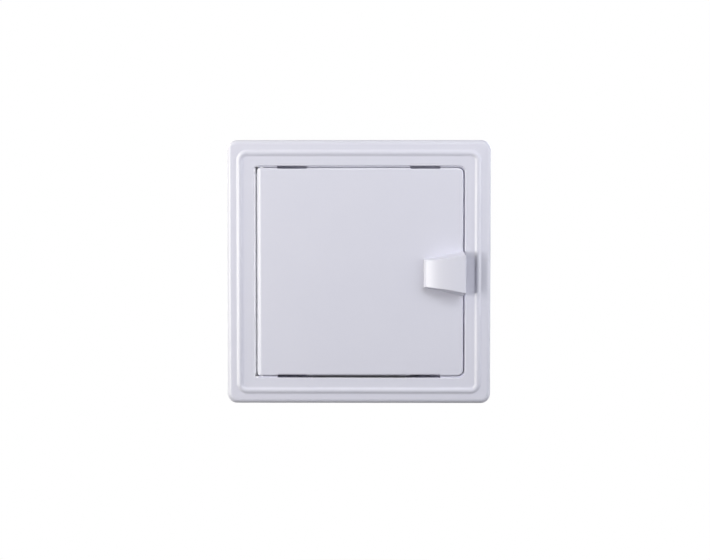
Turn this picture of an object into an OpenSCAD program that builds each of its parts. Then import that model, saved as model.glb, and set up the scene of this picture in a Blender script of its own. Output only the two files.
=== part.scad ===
// Hinged access panel for a bath front: a square frame that sits in a wall cut-out,
// a flush door on a rolled hinge edge, a hollow finger pull and a magnet catch.
// The wall plane is y = 0, the front faces -Y, X runs right and Z runs up.

/* [Flange] */
// Width and height of the square flange
flange_w = 218; // [206:1:260]
// Radius of the outer corners of the flange
flange_corner_r = 8; // [7:0.1:10]
// Height of the flat bands in front of the wall
flange_proud = 5; // [4.6:0.1:5.6]
// Wall thickness of the flange plate
flange_t = 2.4; // [1.8:0.1:2.6]
// Radius of the rounded outer rim
rim_r = 3; // [2:0.1:3.4]
// Width of the band from the outer rim to the door opening
band_w = 21.4; // [21:0.1:24]
// Distance from the outer rim to the middle of the raised bead
bead_inset = 10.5; // [9.5:0.1:11.5]
// Width of the raised bead
bead_w = 6.8; // [6:0.1:7.4]
// Height of the raised bead
bead_h = 1.3; // [0.8:0.1:1.8]
// Corner radius of the middle line of the bead
bead_corner_r = 6; // [5:0.1:6.6]

/* [Opening] */
// Corner radius of the door opening
opening_corner_r = 5; // [4:0.1:6]
// Radius of the rounded front edge of the opening
opening_edge_r = 0.8; // [0.4:0.1:1.2]
// Depth from the front face to the ledge behind the door
rebate_depth = 10; // [9.6:0.1:12]
// Wall thickness of the rebate, the ledge and the collar
wall_t = 2.2; // [1.8:0.1:2.6]
// Width of the ledge behind the door
ledge_w = 4.6; // [4:0.1:6]

/* [Collar] */
// Distance from the outer rim to the outside of the collar
collar_inset = 11; // [10:0.1:11.5]
// Depth of the collar behind the wall plane
collar_depth = 25; // [22:0.5:40]
// Outer corner radius of the collar
collar_corner_r = 6; // [4:0.1:8]
// Thickness of the webs and ribs
rib_t = 1.6; // [1.2:0.1:2]
// Spacing of the webs along each side
web_pitch = 24; // [20:1:30]

/* [Door] */
// Gap above and below the door
door_gap = 1.5; // [1.2:0.1:2]
// Gap on the handle side of the door
latch_gap = 1.2; // [1:0.1:1.7]
// Gap on the hinge side of the door
hinge_gap = 3.2; // [2.6:0.1:3.8]
// Thickness of the front skin of the door
door_skin = 2.2; // [1.8:0.1:2.4]
// Depth of the door from its face to the back of its skirt
door_depth = 8; // [7.6:0.1:8.8]
// Thickness of the skirt round the door
skirt_t = 2; // [1.6:0.1:2.4]
// Corner radius of the door
door_corner_r = 5; // [4:0.1:6]
// Radius of the rounded front edge of the door
door_edge_r = 1.6; // [1:0.1:1.8]
// Height of the stiffening ribs behind the skin
door_rib_h = 4.3; // [3:0.1:4.8]
// Spacing of the stiffening ribs
door_rib_pitch = 26; // [22:1:32]

/* [Edge notches] */
// Distance of each notch and wall clip from the middle of the panel
clip_x = 55; // [48:1:58]
// Length of each notch along the edge of the door
notch_w = 25; // [20:1:28]
// Depth of each notch in the edge of the door
notch_d = 0.7; // [0.4:0.1:1.5]
// Depth of the pocket behind each notch
pocket_d = 11; // [8:0.5:14]

/* [Hinge] */
// Radius of the rolled hinge edge of the door
barrel_r = 4.4; // [4.2:0.1:4.8]
// Diameter of the hinge pins
pin_d = 3.2; // [2.6:0.1:3.4]
// Diameter of the heads of the hinge pins
pin_head_d = 4.4; // [4:0.1:4.6]
// Height of the heads of the hinge pins
pin_head_h = 1.6; // [1:0.1:2.4]
// Length of each solid knuckle in the hinge edge
knuckle_l = 14; // [10:0.5:20]
// Depth of the pin sockets in the frame
socket_depth = 6.4; // [4:0.1:6.4]
// Radial clearance of the pins in the sockets
pin_clear = 0.05; // [0.02:0.01:0.1]

/* [Finger pull] */
// Length of the finger pull on the door
pull_l = 32.9; // [29:0.1:37]
// Height of the wide end of the finger pull
pull_h = 13; // [11:0.5:16]
// How far the middle of the pull lies below the middle of the door
pull_drop = 1.2; // [0.9:0.1:1.6]
// Width of the foot at the narrow end
pull_narrow_w = 23.4; // [20:0.2:26]
// Width of the foot at the wide end
pull_wide_w = 37.3; // [32:0.5:44]
// Height of the short steep face at the narrow end
pull_nose_h = 4.2; // [3.6:0.1:5.4]
// Depth of the short steep face at the narrow end
pull_nose_run = 1.6; // [0.8:0.1:2.4]
// How far the wide end leans out past the door edge
pull_lean = 1.6; // [1:0.1:2.2]
// Draft angle of the long sides
pull_draft = 14; // [8:0.5:16]
// Wall thickness of the finger pull
pull_t = 2; // [1.6:0.1:2.2]

/* [Magnet catch] */
// Distance of the middle of the catch from the edge of the ledge
catch_inset = 7; // [6.5:0.1:9]
// Length of the magnet
magnet_l = 20; // [16:0.5:26]
// Thickness of the magnet
magnet_t = 3.2; // [2.6:0.1:4]
// Depth of the magnet
magnet_d = 8; // [6:0.5:10]
// Thickness of each steel pole plate
pole_t = 1.2; // [0.8:0.1:1.5]
// How far the pole plates stand in front of the magnet
pole_reach = 1.4; // [1:0.1:2]
// How far the pole plates stand in front of the ledge
pole_proud = 0.4; // [0.2:0.1:0.6]
// Wall thickness of the catch housing
catch_wall = 1.4; // [1:0.1:1.6]
// Thickness of the strike plate
strike_t = 1.2; // [0.8:0.1:1.4]
// Length of the strike plate
strike_l = 25; // [22:0.5:26]
// Width of the strike plate
strike_w = 9; // [8:0.5:10]

/* [Wall clips] */
// Width of the spring strip
clip_w = 12; // [8:0.5:16]
// Thickness of the spring strip
clip_t = 0.6; // [0.4:0.1:0.8]
// How far the relaxed leaf stands out from the collar
clip_reach = 3.4; // [2.4:0.1:4.2]

/* [Screws] */
// Diameter of the small screws
screw_d = 2.9; // [2.5:0.1:3]
// Diameter of the screw heads
screw_head_d = 5.4; // [5:0.1:5.8]
// Height of the pan heads
screw_head_h = 1.5; // [1.2:0.1:1.6]
// Length of the catch screws below the head
catch_screw_l = 7; // [5.5:0.1:7.4]
// Length of the handle screws below the head
handle_screw_l = 6.4; // [5:0.1:6.6]
// Length of the strike plate screws
strike_screw_l = 5; // [4:0.1:6]

/* [Hidden] */
$fn = 96;
eps = 0.01;
big = 400;

white = "#DAD9E4";
catch_white = "#E4E4E8";
steel = "#B4B8BE";
magnet_grey = "#4A4A4E";

// Radial clearance of a part that is pushed or screwed into another
seat_clear = 0.02;
// Clearance round the magnet and the catch housing
catch_clear = 0.1;
// Air gap between the strike plate and the pole plates
catch_air = 0.3;
// Clearance between a clip and the collar that it grips
clip_clear = 0.15;
// Clearance of the end of a pin or screw in its blind hole
end_clear = 0.4;
// Clearance between the door and the guides round it
guide_clear = 0.5;
// How far the lip beside the hinge edge stands in front of the pin axis, and its chamfer
lip_rise = 1.2;
lip_chamfer = 0.5;
// How deep the feet of the bead dip into the flat band, and how much larger than just
// touching its arcs are: they then meet in clean edges
bead_sink = 0.03;
bead_overlap = 1.01;
// Length of the window in the collar for the hook of a wall clip
window_l = 3;
// Length of each pad that the closed door rests on
stop_l = 10;
// Wall round a pin socket and round a screw
socket_wall = 3;
screw_wall = 1.8;
// Thickness of the ears of the catch housing
ear_t = 2.4;
// Corner radius of small plates and of the catch shelf
plate_r = 1.5;
shelf_r = 3;
// Material left round the screws and the window of the catch shelf
shelf_margin = 2;
// Material left outside the screw heads of the strike plate
strike_margin = 1.2;
// Distance of the handle screws from the steep face and from the sides of the pull
handle_screw_run = 7;
handle_screw_edge = 4.4;
// Length, width and depth of the cross recess of a screw
recess_l = 3;
recess_w = 0.7;
recess_depth = 0.8;
// Distance of the side stop pads from the middle of the panel
side_stop_z = 61;
// Where a relaxed wall clip stands out most, meets the collar again and ends,
// as shares of the depth of the collar
clip_crest = 0.56;
clip_root = 0.26;
clip_tip = 0.18;

flange_half = flange_w / 2;
opening_half = flange_half - band_w;
collar_half = flange_half - collar_inset;
collar_inner_half = collar_half - wall_t;
rebate_outer_half = opening_half + wall_t;
passage_half = opening_half - ledge_w;
bead_half = flange_half - bead_inset;

face_y = -flange_proud;
plate_back_y = face_y + flange_t;
ledge_y = face_y + rebate_depth;
ledge_back_y = ledge_y + wall_t;

door_left = hinge_gap - opening_half;
door_right = opening_half - latch_gap;
door_top = opening_half - door_gap;
door_mid = (door_left + door_right) / 2;
door_half_x = (door_right - door_left) / 2;
skin_back_y = face_y + door_skin;
door_back_y = face_y + door_depth;

hinge_x = door_left + barrel_r;
hinge_y = face_y + barrel_r;
channel_r = pin_head_d / 2 + catch_clear;
knuckle_end = door_top - knuckle_l;

pocket_back_y = ledge_y + pocket_d;
window_y = ledge_back_y + rib_t / 2;
socket_half = pin_d / 2 + socket_wall;

pull_end = door_right;
pull_start = pull_end - pull_l;
pull_tip = pull_end + pull_lean;
pull_nose_x = pull_start + pull_nose_run;
pull_angle = atan((pull_wide_w - pull_narrow_w) / 2 / pull_l);
pull_rise = pull_h - pull_nose_h;
pull_arc_r = (pow(pull_tip - pull_nose_x, 2) + pow(pull_rise, 2)) / (2 * pull_rise);
handle_screw_x = pull_nose_x + handle_screw_run;
handle_screw_z = pull_narrow_w / 2 - handle_screw_edge;
boss_d = screw_d + 2 * screw_wall;

catch_x = passage_half - catch_inset;
catch_half_x = magnet_t / 2 + pole_t + catch_clear + catch_wall;
catch_half_z = magnet_l / 2 + catch_clear + catch_wall;
catch_screw_z = catch_half_z + screw_head_d / 2 + shelf_margin;
platform_half_z = catch_screw_z + screw_head_d / 2 + shelf_margin;
platform_edge = catch_x - catch_half_x - shelf_margin;
pole_tip_y = ledge_y - pole_proud;
magnet_front_y = pole_tip_y + pole_reach;
magnet_back_y = magnet_front_y + magnet_d;
housing_back_y = magnet_back_y + catch_wall;
ear_hole_l = catch_screw_l - wall_t + end_clear;
ear_boss_l = ear_hole_l + catch_wall;
strike_back_y = pole_tip_y - catch_air;
strike_front_y = strike_back_y - strike_t;
strike_screw_z = strike_l / 2 - screw_head_d / 2 - strike_margin;

// Extrudes an outline drawn in X and Z from depth y0 to depth y1
module depth_extrude(y0, y1) {
    translate([0, y1, 0])
        rotate([90, 0, 0])
            linear_extrude(y1 - y0)
                children();
}

// A rectangle with true round corners
module round_rect(half_x, half_z, r) {
    square([2 * (half_x - r), 2 * half_z], center = true);
    square([2 * half_x, 2 * (half_z - r)], center = true);
    for (sx = [-1, 1], sz = [-1, 1])
        translate([sx * (half_x - r), sz * (half_z - r)])
            circle(r);
}

// A square ring with its own outer and inner corner radius
module square_ring(outer, outer_r, inner, inner_r) {
    difference() {
        round_rect(outer, outer, outer_r);
        round_rect(inner, inner, inner_r);
    }
}

// Sweeps a profile round a rectangle. In the profile, x is the distance from the
// corner centre and y the height in front of the wall plane.
module edge_sweep(half_x, half_z, r) {
    rotate([90, 0, 0])
        for (side = [0:3]) {
            a = (side % 2 == 0 ? half_x : half_z) - r;
            b = (side % 2 == 0 ? half_z : half_x) - r;
            rotate(side * 90) {
                translate([a, b, 0])
                    rotate_extrude(angle = 90)
                        children();
                translate([a, b, 0])
                    rotate([90, 0, 0])
                        linear_extrude(2 * b)
                            children();
            }
        }
}

// The corner that a convex edge round takes away, outwards and forwards of (x, h)
module edge_round_waste(x, h, r) {
    difference() {
        translate([x - r, h - r]) square(r + 1);
        translate([x - r, h - r]) circle(r);
    }
}

// Profile of the outer rim, with the wall that stands on the wall plane
module rim_profile() {
    difference() {
        union() {
            translate([flange_corner_r - rim_r - 2, flange_proud - flange_t])
                square([rim_r + 2, flange_t]);
            translate([flange_corner_r - flange_t, 0])
                square([flange_t, flange_proud]);
        }
        edge_round_waste(flange_corner_r, flange_proud, rim_r);
    }
}

module flange() {
    plate_half = flange_half - rim_r;
    depth_extrude(face_y, plate_back_y)
        square_ring(plate_half, flange_corner_r - rim_r, opening_half, opening_corner_r);
    edge_sweep(flange_half, flange_half, flange_corner_r)
        rim_profile();
}

// The raised bead: a round crest that runs into a hollow foot on each side, all of them
// with the same radius
module bead() {
    rise = bead_h + bead_sink;
    bead_r = bead_overlap * (pow(bead_w / 2, 2) + pow(rise, 2)) / (4 * rise);
    edge_sweep(bead_half, bead_half, bead_corner_r)
        translate([bead_corner_r, flange_proud]) {
            intersection() {
                translate([0, bead_h - bead_r])
                    circle(bead_r);
                translate([-bead_w / 2, -flange_t / 2])
                    square([bead_w, flange_t / 2 + bead_h]);
            }
            difference() {
                translate([-bead_w / 2, -flange_t / 2])
                    square([bead_w, flange_t / 2 + bead_h - rise / 2]);
                for (side = [-1, 1])
                    translate([side * bead_w / 2, bead_r - bead_sink])
                        circle(bead_r);
            }
        }
}

// The hollow behind the bead, which keeps the wall even
module bead_groove() {
    groove_w = bead_w / 2;
    edge_sweep(bead_half, bead_half, bead_corner_r) {
        translate([bead_corner_r - groove_w / 2, 0])
            square([groove_w, flange_proud - flange_t + bead_h / 3]);
        translate([bead_corner_r, flange_proud - flange_t + bead_h / 3])
            circle(groove_w / 4);
    }
}

module rebate() {
    depth_extrude(plate_back_y - eps, ledge_back_y)
        square_ring(rebate_outer_half, opening_corner_r + wall_t,
                    opening_half, opening_corner_r);
    depth_extrude(ledge_y, ledge_back_y)
        square_ring(rebate_outer_half, opening_corner_r + wall_t,
                    passage_half, opening_corner_r / 2);
}

module collar() {
    depth_extrude(plate_back_y - eps, collar_depth)
        square_ring(collar_half, collar_corner_r,
                    collar_inner_half, collar_corner_r - wall_t);
}

// Places along one side that carry a web, clear of the corners
function web_places() =
    [for (p = [0:web_pitch:opening_half - web_pitch / 2]) each p == 0 ? [0] : [-p, p]];

// Webs between rebate and collar, and low ribs between collar and rim
module webs() {
    for (side = [0:3], p = web_places())
        rotate([0, side * 90, 0])
            translate([p, 0, 0]) {
                web(rebate_outer_half, collar_inner_half, ledge_back_y);
                web(collar_half, flange_half - flange_t, -end_clear);
            }
}

module web(from, to, back_y) {
    translate([-rib_t / 2, plate_back_y - eps, from - eps])
        cube([rib_t, back_y - plate_back_y + eps, to - from + 2 * eps]);
}

// Repeats its children at the four notches, with +Z turned to point outwards
module at_clips() {
    for (side = [0, 180], sx = [-1, 1])
        rotate([0, side, 0])
            translate([sx * clip_x, 0, 0])
                children();
}

// A closed pocket behind each notch, tied to the collar by its two end walls
module clip_tower() {
    half = notch_w / 2 + rib_t;
    translate([-half, ledge_y, passage_half - rib_t])
        cube([2 * half, pocket_d + rib_t, rebate_outer_half - passage_half + rib_t]);
    for (sx = [-1, 1])
        translate([sx * (half - rib_t / 2) - rib_t / 2, plate_back_y - eps,
                   rebate_outer_half - eps])
            cube([rib_t, pocket_back_y - plate_back_y,
                  collar_inner_half - rebate_outer_half + 2 * eps]);
}

module clip_pocket() {
    translate([-notch_w / 2, ledge_y - eps, passage_half])
        cube([notch_w, pocket_d, ledge_w]);
}

// Window in the collar for the hooked end of a clip
module clip_window() {
    half = clip_w / 2 + clip_clear;
    translate([-half, window_y, collar_inner_half - eps])
        cube([2 * half, window_l, wall_t + 2 * eps]);
}

// A narrow step round the door that guides it. It is left out at the notches, between
// the two lower notches and beside the hinge.
module edge_guides() {
    depth_extrude(face_y + door_edge_r, ledge_y + eps)
        difference() {
            round_rect(opening_half + eps, opening_half + eps, opening_corner_r);
            translate([door_right + guide_clear - big / 2, 0])
                round_rect(big / 2, door_top + guide_clear, door_corner_r + guide_clear);
            for (sx = [-1, 1])
                translate([sx * clip_x, opening_half])
                    square([notch_w, 4 * door_gap], center = true);
            translate([0, -opening_half])
                square([2 * clip_x + notch_w, 4 * door_gap], center = true);
        }
}

// A lip beside the rolled edge of the door, chamfered to clear the wide open door
module hinge_lip() {
    left = -opening_half - eps;
    right = door_left - 2 * guide_clear;
    front = hinge_y - lip_rise;
    translate([0, 0, -door_top])
        linear_extrude(2 * door_top)
            polygon([[left, front], [right - lip_chamfer, front], [right, front + lip_chamfer],
                     [right, ledge_y + eps], [left, ledge_y + eps]]);
}

// Pads on the ledge that the skirt of the closed door rests on
module door_stops() {
    for (sz = [-1, 1]) {
        translate([door_right - skirt_t, door_back_y, sz * side_stop_z - stop_l / 2])
            cube([opening_half - door_right + skirt_t + eps, ledge_y - door_back_y + eps, stop_l]);
        translate([clip_x + notch_w / 2 + rib_t, door_back_y,
                   sz > 0 ? door_top - skirt_t : -opening_half - eps])
            cube([stop_l, ledge_y - door_back_y + eps, door_gap + skirt_t + eps]);
    }
}

module hinge_sockets() {
    for (sz = [-1, 1])
        translate([hinge_x - socket_half, plate_back_y - eps,
                   sz > 0 ? opening_half + eps : -collar_inner_half - eps])
            cube([2 * socket_half, hinge_y + socket_half - plate_back_y,
                  collar_inner_half - opening_half]);
}

module hinge_socket_bores() {
    for (sz = [-1, 1])
        translate([hinge_x, hinge_y, sz > 0 ? door_top : -opening_half - socket_depth])
            cylinder(r = pin_d / 2 + pin_clear, h = socket_depth + door_gap);
}

// The shelf that carries the magnet catch
module catch_platform() {
    r = shelf_r;
    depth_extrude(ledge_y, ledge_back_y) {
        translate([platform_edge + r, -platform_half_z])
            square([passage_half + wall_t - platform_edge - r, 2 * platform_half_z]);
        translate([platform_edge, r - platform_half_z])
            square([2 * r, 2 * (platform_half_z - r)]);
        for (sz = [-1, 1])
            translate([platform_edge + r, sz * (platform_half_z - r)])
                circle(r);
    }
}

module catch_cutouts() {
    translate([catch_x - catch_half_x - catch_clear, ledge_y - 1,
               -catch_half_z - catch_clear])
        cube([2 * (catch_half_x + catch_clear), wall_t + 2, 2 * (catch_half_z + catch_clear)]);
    for (sz = [-1, 1])
        translate([catch_x, ledge_back_y + 1, sz * catch_screw_z])
            rotate([90, 0, 0])
                cylinder(r = screw_d / 2 + seat_clear + catch_clear, h = wall_t + 2);
}

module opening_edge_cut() {
    edge_sweep(opening_half, opening_half, opening_corner_r)
        difference() {
            translate([opening_corner_r - eps, flange_proud - opening_edge_r])
                square([opening_edge_r + eps, opening_edge_r + 1]);
            translate([opening_corner_r + opening_edge_r, flange_proud - opening_edge_r])
                circle(opening_edge_r);
        }
}

module frame() {
    color(white)
        difference() {
            union() {
                flange();
                bead();
                rebate();
                collar();
                webs();
                at_clips() clip_tower();
                edge_guides();
                hinge_lip();
                door_stops();
                hinge_sockets();
                catch_platform();
            }
            bead_groove();
            opening_edge_cut();
            at_clips() {
                clip_pocket();
                clip_window();
            }
            hinge_socket_bores();
            catch_cutouts();
        }
}

// A flat strip of one thickness along a line of points, with rounded bends
module strip(points, t) {
    for (i = [0:len(points) - 2]) {
        run = points[i + 1] - points[i];
        translate(points[i])
            rotate(atan2(run[1], run[0]))
                translate([0, -t / 2])
                    square([norm(run), t]);
    }
    for (p = points)
        translate(p)
            circle(t / 2, $fn = 24);
}

// A spring clip that hooks through the collar, grips its rear edge and bows outside
module wall_clip() {
    in = collar_inner_half - clip_clear - clip_t / 2;
    out = collar_half + clip_clear + clip_t / 2;
    rear = collar_depth + clip_clear + clip_t / 2;
    crest = collar_half + clip_reach;
    hook_y = window_y + window_l - clip_clear - clip_t;
    path = [
        [hook_y - window_l / 4, collar_half - clip_t],
        [hook_y, in],
        [rear, in],
        [rear, out],
        [collar_depth * clip_crest, crest],
        [collar_depth * clip_root, out + clip_t],
        [collar_depth * clip_tip, out + 3 * clip_t]
    ];
    color(steel)
        translate([-clip_w / 2, 0, 0])
            rotate([90, 0, 90])
                linear_extrude(clip_w)
                    strip(path, clip_t);
}

module wall_clip_at(sx, side) {
    rotate([0, side, 0])
        translate([sx * clip_x, 0, 0])
            wall_clip();
}

// The housing drops through the window of the shelf and is held by two ears
module catch_housing() {
    color(catch_white)
        difference() {
            union() {
                translate([catch_x - catch_half_x, ledge_y, -catch_half_z])
                    cube([2 * catch_half_x, housing_back_y - ledge_y, 2 * catch_half_z]);
                translate([catch_x - catch_half_x, ledge_back_y, -catch_screw_z])
                    cube([2 * catch_half_x, ear_t, 2 * catch_screw_z]);
                for (sz = [-1, 1])
                    translate([catch_x, ledge_back_y, sz * catch_screw_z])
                        rotate([-90, 0, 0])
                            cylinder(r = catch_half_x, h = ear_boss_l);
            }
            translate([catch_x - magnet_t / 2 - pole_t - catch_clear, ledge_y - 1,
                       -magnet_l / 2 - catch_clear])
                cube([magnet_t + 2 * (pole_t + catch_clear), magnet_back_y - ledge_y + 1,
                      magnet_l + 2 * catch_clear]);
            for (sz = [-1, 1])
                translate([catch_x, ledge_back_y - 1, sz * catch_screw_z])
                    rotate([-90, 0, 0])
                        cylinder(r = screw_d / 2 + seat_clear, h = ear_hole_l + 1);
        }
}

module catch_magnet() {
    color(magnet_grey)
        translate([catch_x - magnet_t / 2, magnet_front_y, -magnet_l / 2])
            cube([magnet_t, magnet_d, magnet_l]);
}

module pole_plate(sx) {
    color(steel)
        translate([catch_x + sx * (magnet_t + pole_t) / 2 - pole_t / 2, pole_tip_y,
                   -magnet_l / 2])
            cube([pole_t, pole_reach + magnet_d, magnet_l]);
}

// A pan-head screw: domed head below z = 0, point up, cross recess in the head
module pan_screw(l) {
    head_r = screw_head_d / 2;
    dome_h = screw_head_h * 2 / 3;
    dome_r = (pow(head_r, 2) + pow(dome_h, 2)) / (2 * dome_h);
    difference() {
        rotate_extrude() {
            intersection() {
                translate([0, dome_r - screw_head_h]) circle(dome_r);
                translate([0, -screw_head_h]) square([head_r, screw_head_h]);
            }
            polygon([[0, -eps], [screw_d / 2, -eps], [screw_d / 2, l - screw_d / 2], [0, l]]);
        }
        cross_recess(-screw_head_h);
    }
}

// A countersunk screw with its flat head at z = 0
module flat_screw(l) {
    sink = (screw_head_d - screw_d) / 2;
    difference() {
        rotate_extrude()
            polygon([[0, 0], [screw_head_d / 2, 0], [screw_d / 2, sink],
                     [screw_d / 2, l - screw_d / 2], [0, l]]);
        cross_recess(0);
    }
}

module cross_recess(z) {
    for (turn = [0, 90])
        rotate(turn)
            translate([-recess_l / 2, -recess_w / 2, z - eps])
                cube([recess_l, recess_w, recess_depth]);
}

module catch_screw(sz) {
    color(steel)
        translate([catch_x, ledge_y, sz * catch_screw_z])
            rotate([-90, 0, 0])
                pan_screw(catch_screw_l);
}

// Cross section of the door in X and Y: a flat skin that rolls round the pin axis
module door_section() {
    translate([hinge_x, hinge_y]) circle(barrel_r);
    translate([hinge_x, face_y]) square([door_right - hinge_x, door_depth]);
}

module door_blank() {
    intersection() {
        difference() {
            translate([door_mid, 0, 0])
                depth_extrude(face_y, hinge_y + barrel_r)
                    round_rect(door_half_x, door_top, door_corner_r);
            translate([door_mid, 0, 0])
                edge_sweep(door_half_x, door_top, door_corner_r)
                    edge_round_waste(door_corner_r, flange_proud, door_edge_r);
        }
        translate([0, 0, -door_top])
            linear_extrude(2 * door_top)
                door_section();
    }
}

// The hollow behind the skin, with the open channel along the rolled edge
module door_hollow() {
    left = hinge_x + barrel_r;
    inner_top = door_top - skirt_t;
    depth_extrude(skin_back_y, door_back_y + 2)
        translate([(left + door_right - skirt_t) / 2, 0])
            round_rect((door_right - skirt_t - left) / 2, inner_top, door_corner_r - skirt_t);
    translate([hinge_x, hinge_y, -knuckle_end]) {
        cylinder(r = channel_r, h = 2 * knuckle_end);
        translate([-channel_r, 0, 0])
            cube([barrel_r + channel_r + eps, barrel_r + 1, 2 * knuckle_end]);
    }
}

// Middle lines of the ribs that fit along a length, the same to both sides of its middle
function rib_places(length) =
    let (last = floor(length / door_rib_pitch) - 1)
    [for (i = [0:last]) (i - last / 2) * door_rib_pitch];

module door_ribs() {
    left = hinge_x + barrel_r - eps;
    for (p = rib_places(2 * door_half_x))
        translate([door_mid + p - rib_t / 2, skin_back_y - eps, skirt_t / 2 - door_top])
            cube([rib_t, door_rib_h, 2 * door_top - skirt_t]);
    for (p = rib_places(2 * door_top))
        translate([left, skin_back_y - eps, p - rib_t / 2])
            cube([door_right - skirt_t / 2 - left, door_rib_h, rib_t]);
}

// Thicker skirt behind each notch
module notch_backing() {
    half = notch_w / 2 + skirt_t;
    translate([-half, skin_back_y - eps, door_top - skirt_t - notch_d])
        cube([2 * half, door_back_y - skin_back_y + eps, notch_d + eps]);
}

module notch_cut() {
    depth_extrude(face_y - 1, door_back_y + 2)
        polygon([[-notch_w / 2 - 1, door_top + 1], [-notch_w / 2 + notch_d, door_top - notch_d],
                 [notch_w / 2 - notch_d, door_top - notch_d], [notch_w / 2 + 1, door_top + 1]]);
}

module strike_boss() {
    depth_extrude(skin_back_y - eps, strike_front_y)
        translate([catch_x, 0])
            round_rect(strike_w / 2, strike_l / 2, plate_r);
}

module door() {
    color(white)
        difference() {
            union() {
                difference() {
                    door_blank();
                    door_hollow();
                }
                intersection() {
                    union() {
                        door_ribs();
                        at_clips() notch_backing();
                    }
                    depth_extrude(skin_back_y - 1, door_back_y)
                        translate([door_mid, 0])
                            round_rect(door_half_x, door_top, door_corner_r);
                }
                strike_boss();
                on_door_face() at_handle_screws()
                    translate([0, 0, -door_skin - door_rib_h])
                        cylinder(d = screw_head_d + 2 * (catch_clear + rib_t), h = door_rib_h + eps);
            }
            at_clips() notch_cut();
            on_door_face() at_handle_screws() {
                translate([0, 0, -door_skin - 1])
                    cylinder(r = screw_d / 2 + seat_clear + catch_clear, h = door_skin + 2);
                translate([0, 0, -door_skin - door_rib_h - 1])
                    cylinder(d = screw_head_d + 2 * catch_clear, h = door_rib_h + 1);
            }
            for (sz = [-1, 1]) {
                translate([hinge_x, hinge_y, sz > 0 ? knuckle_end - 1 : -door_top - 1])
                    cylinder(r = pin_d / 2 + seat_clear, h = knuckle_l + 2);
                translate([catch_x, strike_back_y - strike_screw_l - end_clear,
                           sz * strike_screw_z])
                    rotate([-90, 0, 0])
                        cylinder(r = screw_d / 2 + seat_clear,
                                 h = strike_screw_l + end_clear);
            }
        }
}

// Side profile of the finger pull, x along the door and y away from its face,
// drawn smaller all round by the inset
module pull_profile(inset) {
    lean = pull_lean / pull_h;
    run = pull_nose_run / pull_nose_h;
    top = 2 * pull_h;
    side = inset * sqrt(1 + run * run);
    intersection() {
        translate([pull_tip, pull_h - pull_arc_r])
            circle(pull_arc_r - inset, $fn = 240);
        polygon([[pull_start + side - run * inset, -inset],
                 [pull_start + side + run * top, top],
                 [pull_end + lean * top + 2 * inset, top],
                 [pull_end - lean * inset + 2 * inset, -inset]]);
    }
}

// The profile across the door, cut by two long sides that lean inwards
module pull_solid(inset) {
    translate([0, -pull_drop, 0])
        difference() {
            translate([0, pull_wide_w, 0])
                rotate([90, 0, 0])
                    linear_extrude(2 * pull_wide_w)
                        pull_profile(inset);
            for (flip = [0, 1])
                mirror([0, flip, 0])
                    translate([pull_start, pull_narrow_w / 2, 0])
                        rotate([0, 0, pull_angle])
                            rotate([pull_draft, 0, 0])
                                translate([-big / 2, -inset, -big / 2])
                                    cube([big, big, big]);
        }
}

// Stands its children on the face of the door, with their Z pointing out of it
module on_door_face() {
    translate([0, face_y, 0])
        rotate([90, 0, 0])
            children();
}

module at_handle_screws() {
    for (sz = [-1, 1])
        translate([handle_screw_x, sz * handle_screw_z - pull_drop, 0])
            children();
}

module pull_handle() {
    hole_l = handle_screw_l - door_skin + end_clear;
    color(white)
        on_door_face()
            difference() {
                union() {
                    difference() {
                        pull_solid(0);
                        pull_solid(pull_t);
                    }
                    intersection() {
                        pull_solid(pull_t / 2);
                        at_handle_screws()
                            cylinder(d = boss_d, h = pull_h);
                    }
                }
                at_handle_screws()
                    translate([0, 0, -1])
                        cylinder(r = screw_d / 2 + seat_clear, h = hole_l + 1);
            }
}

module handle_screw(sz) {
    color(steel)
        on_door_face()
            translate([handle_screw_x, sz * handle_screw_z - pull_drop, -door_skin])
                pan_screw(handle_screw_l);
}

module strike_plate() {
    sink = (screw_head_d - screw_d) / 2;
    color(steel)
        difference() {
            depth_extrude(strike_front_y, strike_back_y)
                translate([catch_x, 0])
                    round_rect(strike_w / 2, strike_l / 2, plate_r);
            for (sz = [-1, 1])
                translate([catch_x, strike_back_y, sz * strike_screw_z])
                    rotate([90, 0, 0]) {
                        cylinder(r = screw_d / 2 + seat_clear, h = strike_t + 1);
                        cylinder(r1 = screw_head_d / 2 + seat_clear,
                                 r2 = screw_d / 2 + seat_clear, h = sink);
                    }
        }
}

module strike_screw(sz) {
    color(steel)
        translate([catch_x, strike_back_y, sz * strike_screw_z])
            rotate([90, 0, 0])
                flat_screw(strike_screw_l);
}

// The head bears on the inner end of the knuckle and the shank enters the frame
module hinge_pin(sz) {
    shank = knuckle_l + door_gap + socket_depth - end_clear;
    color(steel)
        mirror([0, 0, sz < 0 ? 1 : 0])
            translate([hinge_x, hinge_y, knuckle_end]) {
                translate([0, 0, -pin_head_h]) cylinder(d = pin_head_d, h = pin_head_h);
                cylinder(d = pin_d, h = shank - pin_d / 4);
                translate([0, 0, shank - pin_d / 4])
                    cylinder(d1 = pin_d, d2 = pin_d / 2, h = pin_d / 4);
            }
}

frame();
wall_clip_at(-1, 0);  // wall_clip_top_left
wall_clip_at(1, 0);  // wall_clip_top_right
wall_clip_at(1, 180);  // wall_clip_bottom_left
wall_clip_at(-1, 180);  // wall_clip_bottom_right
catch_housing();
catch_magnet();
pole_plate(-1);  // pole_plate_inner
pole_plate(1);  // pole_plate_outer
catch_screw(1);  // catch_screw_upper
catch_screw(-1);  // catch_screw_lower
door();
pull_handle();
handle_screw(1);  // handle_screw_upper
handle_screw(-1);  // handle_screw_lower
strike_plate();
strike_screw(1);  // strike_screw_upper
strike_screw(-1);  // strike_screw_lower
hinge_pin(1);  // hinge_pin_upper
hinge_pin(-1);  // hinge_pin_lower
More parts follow.
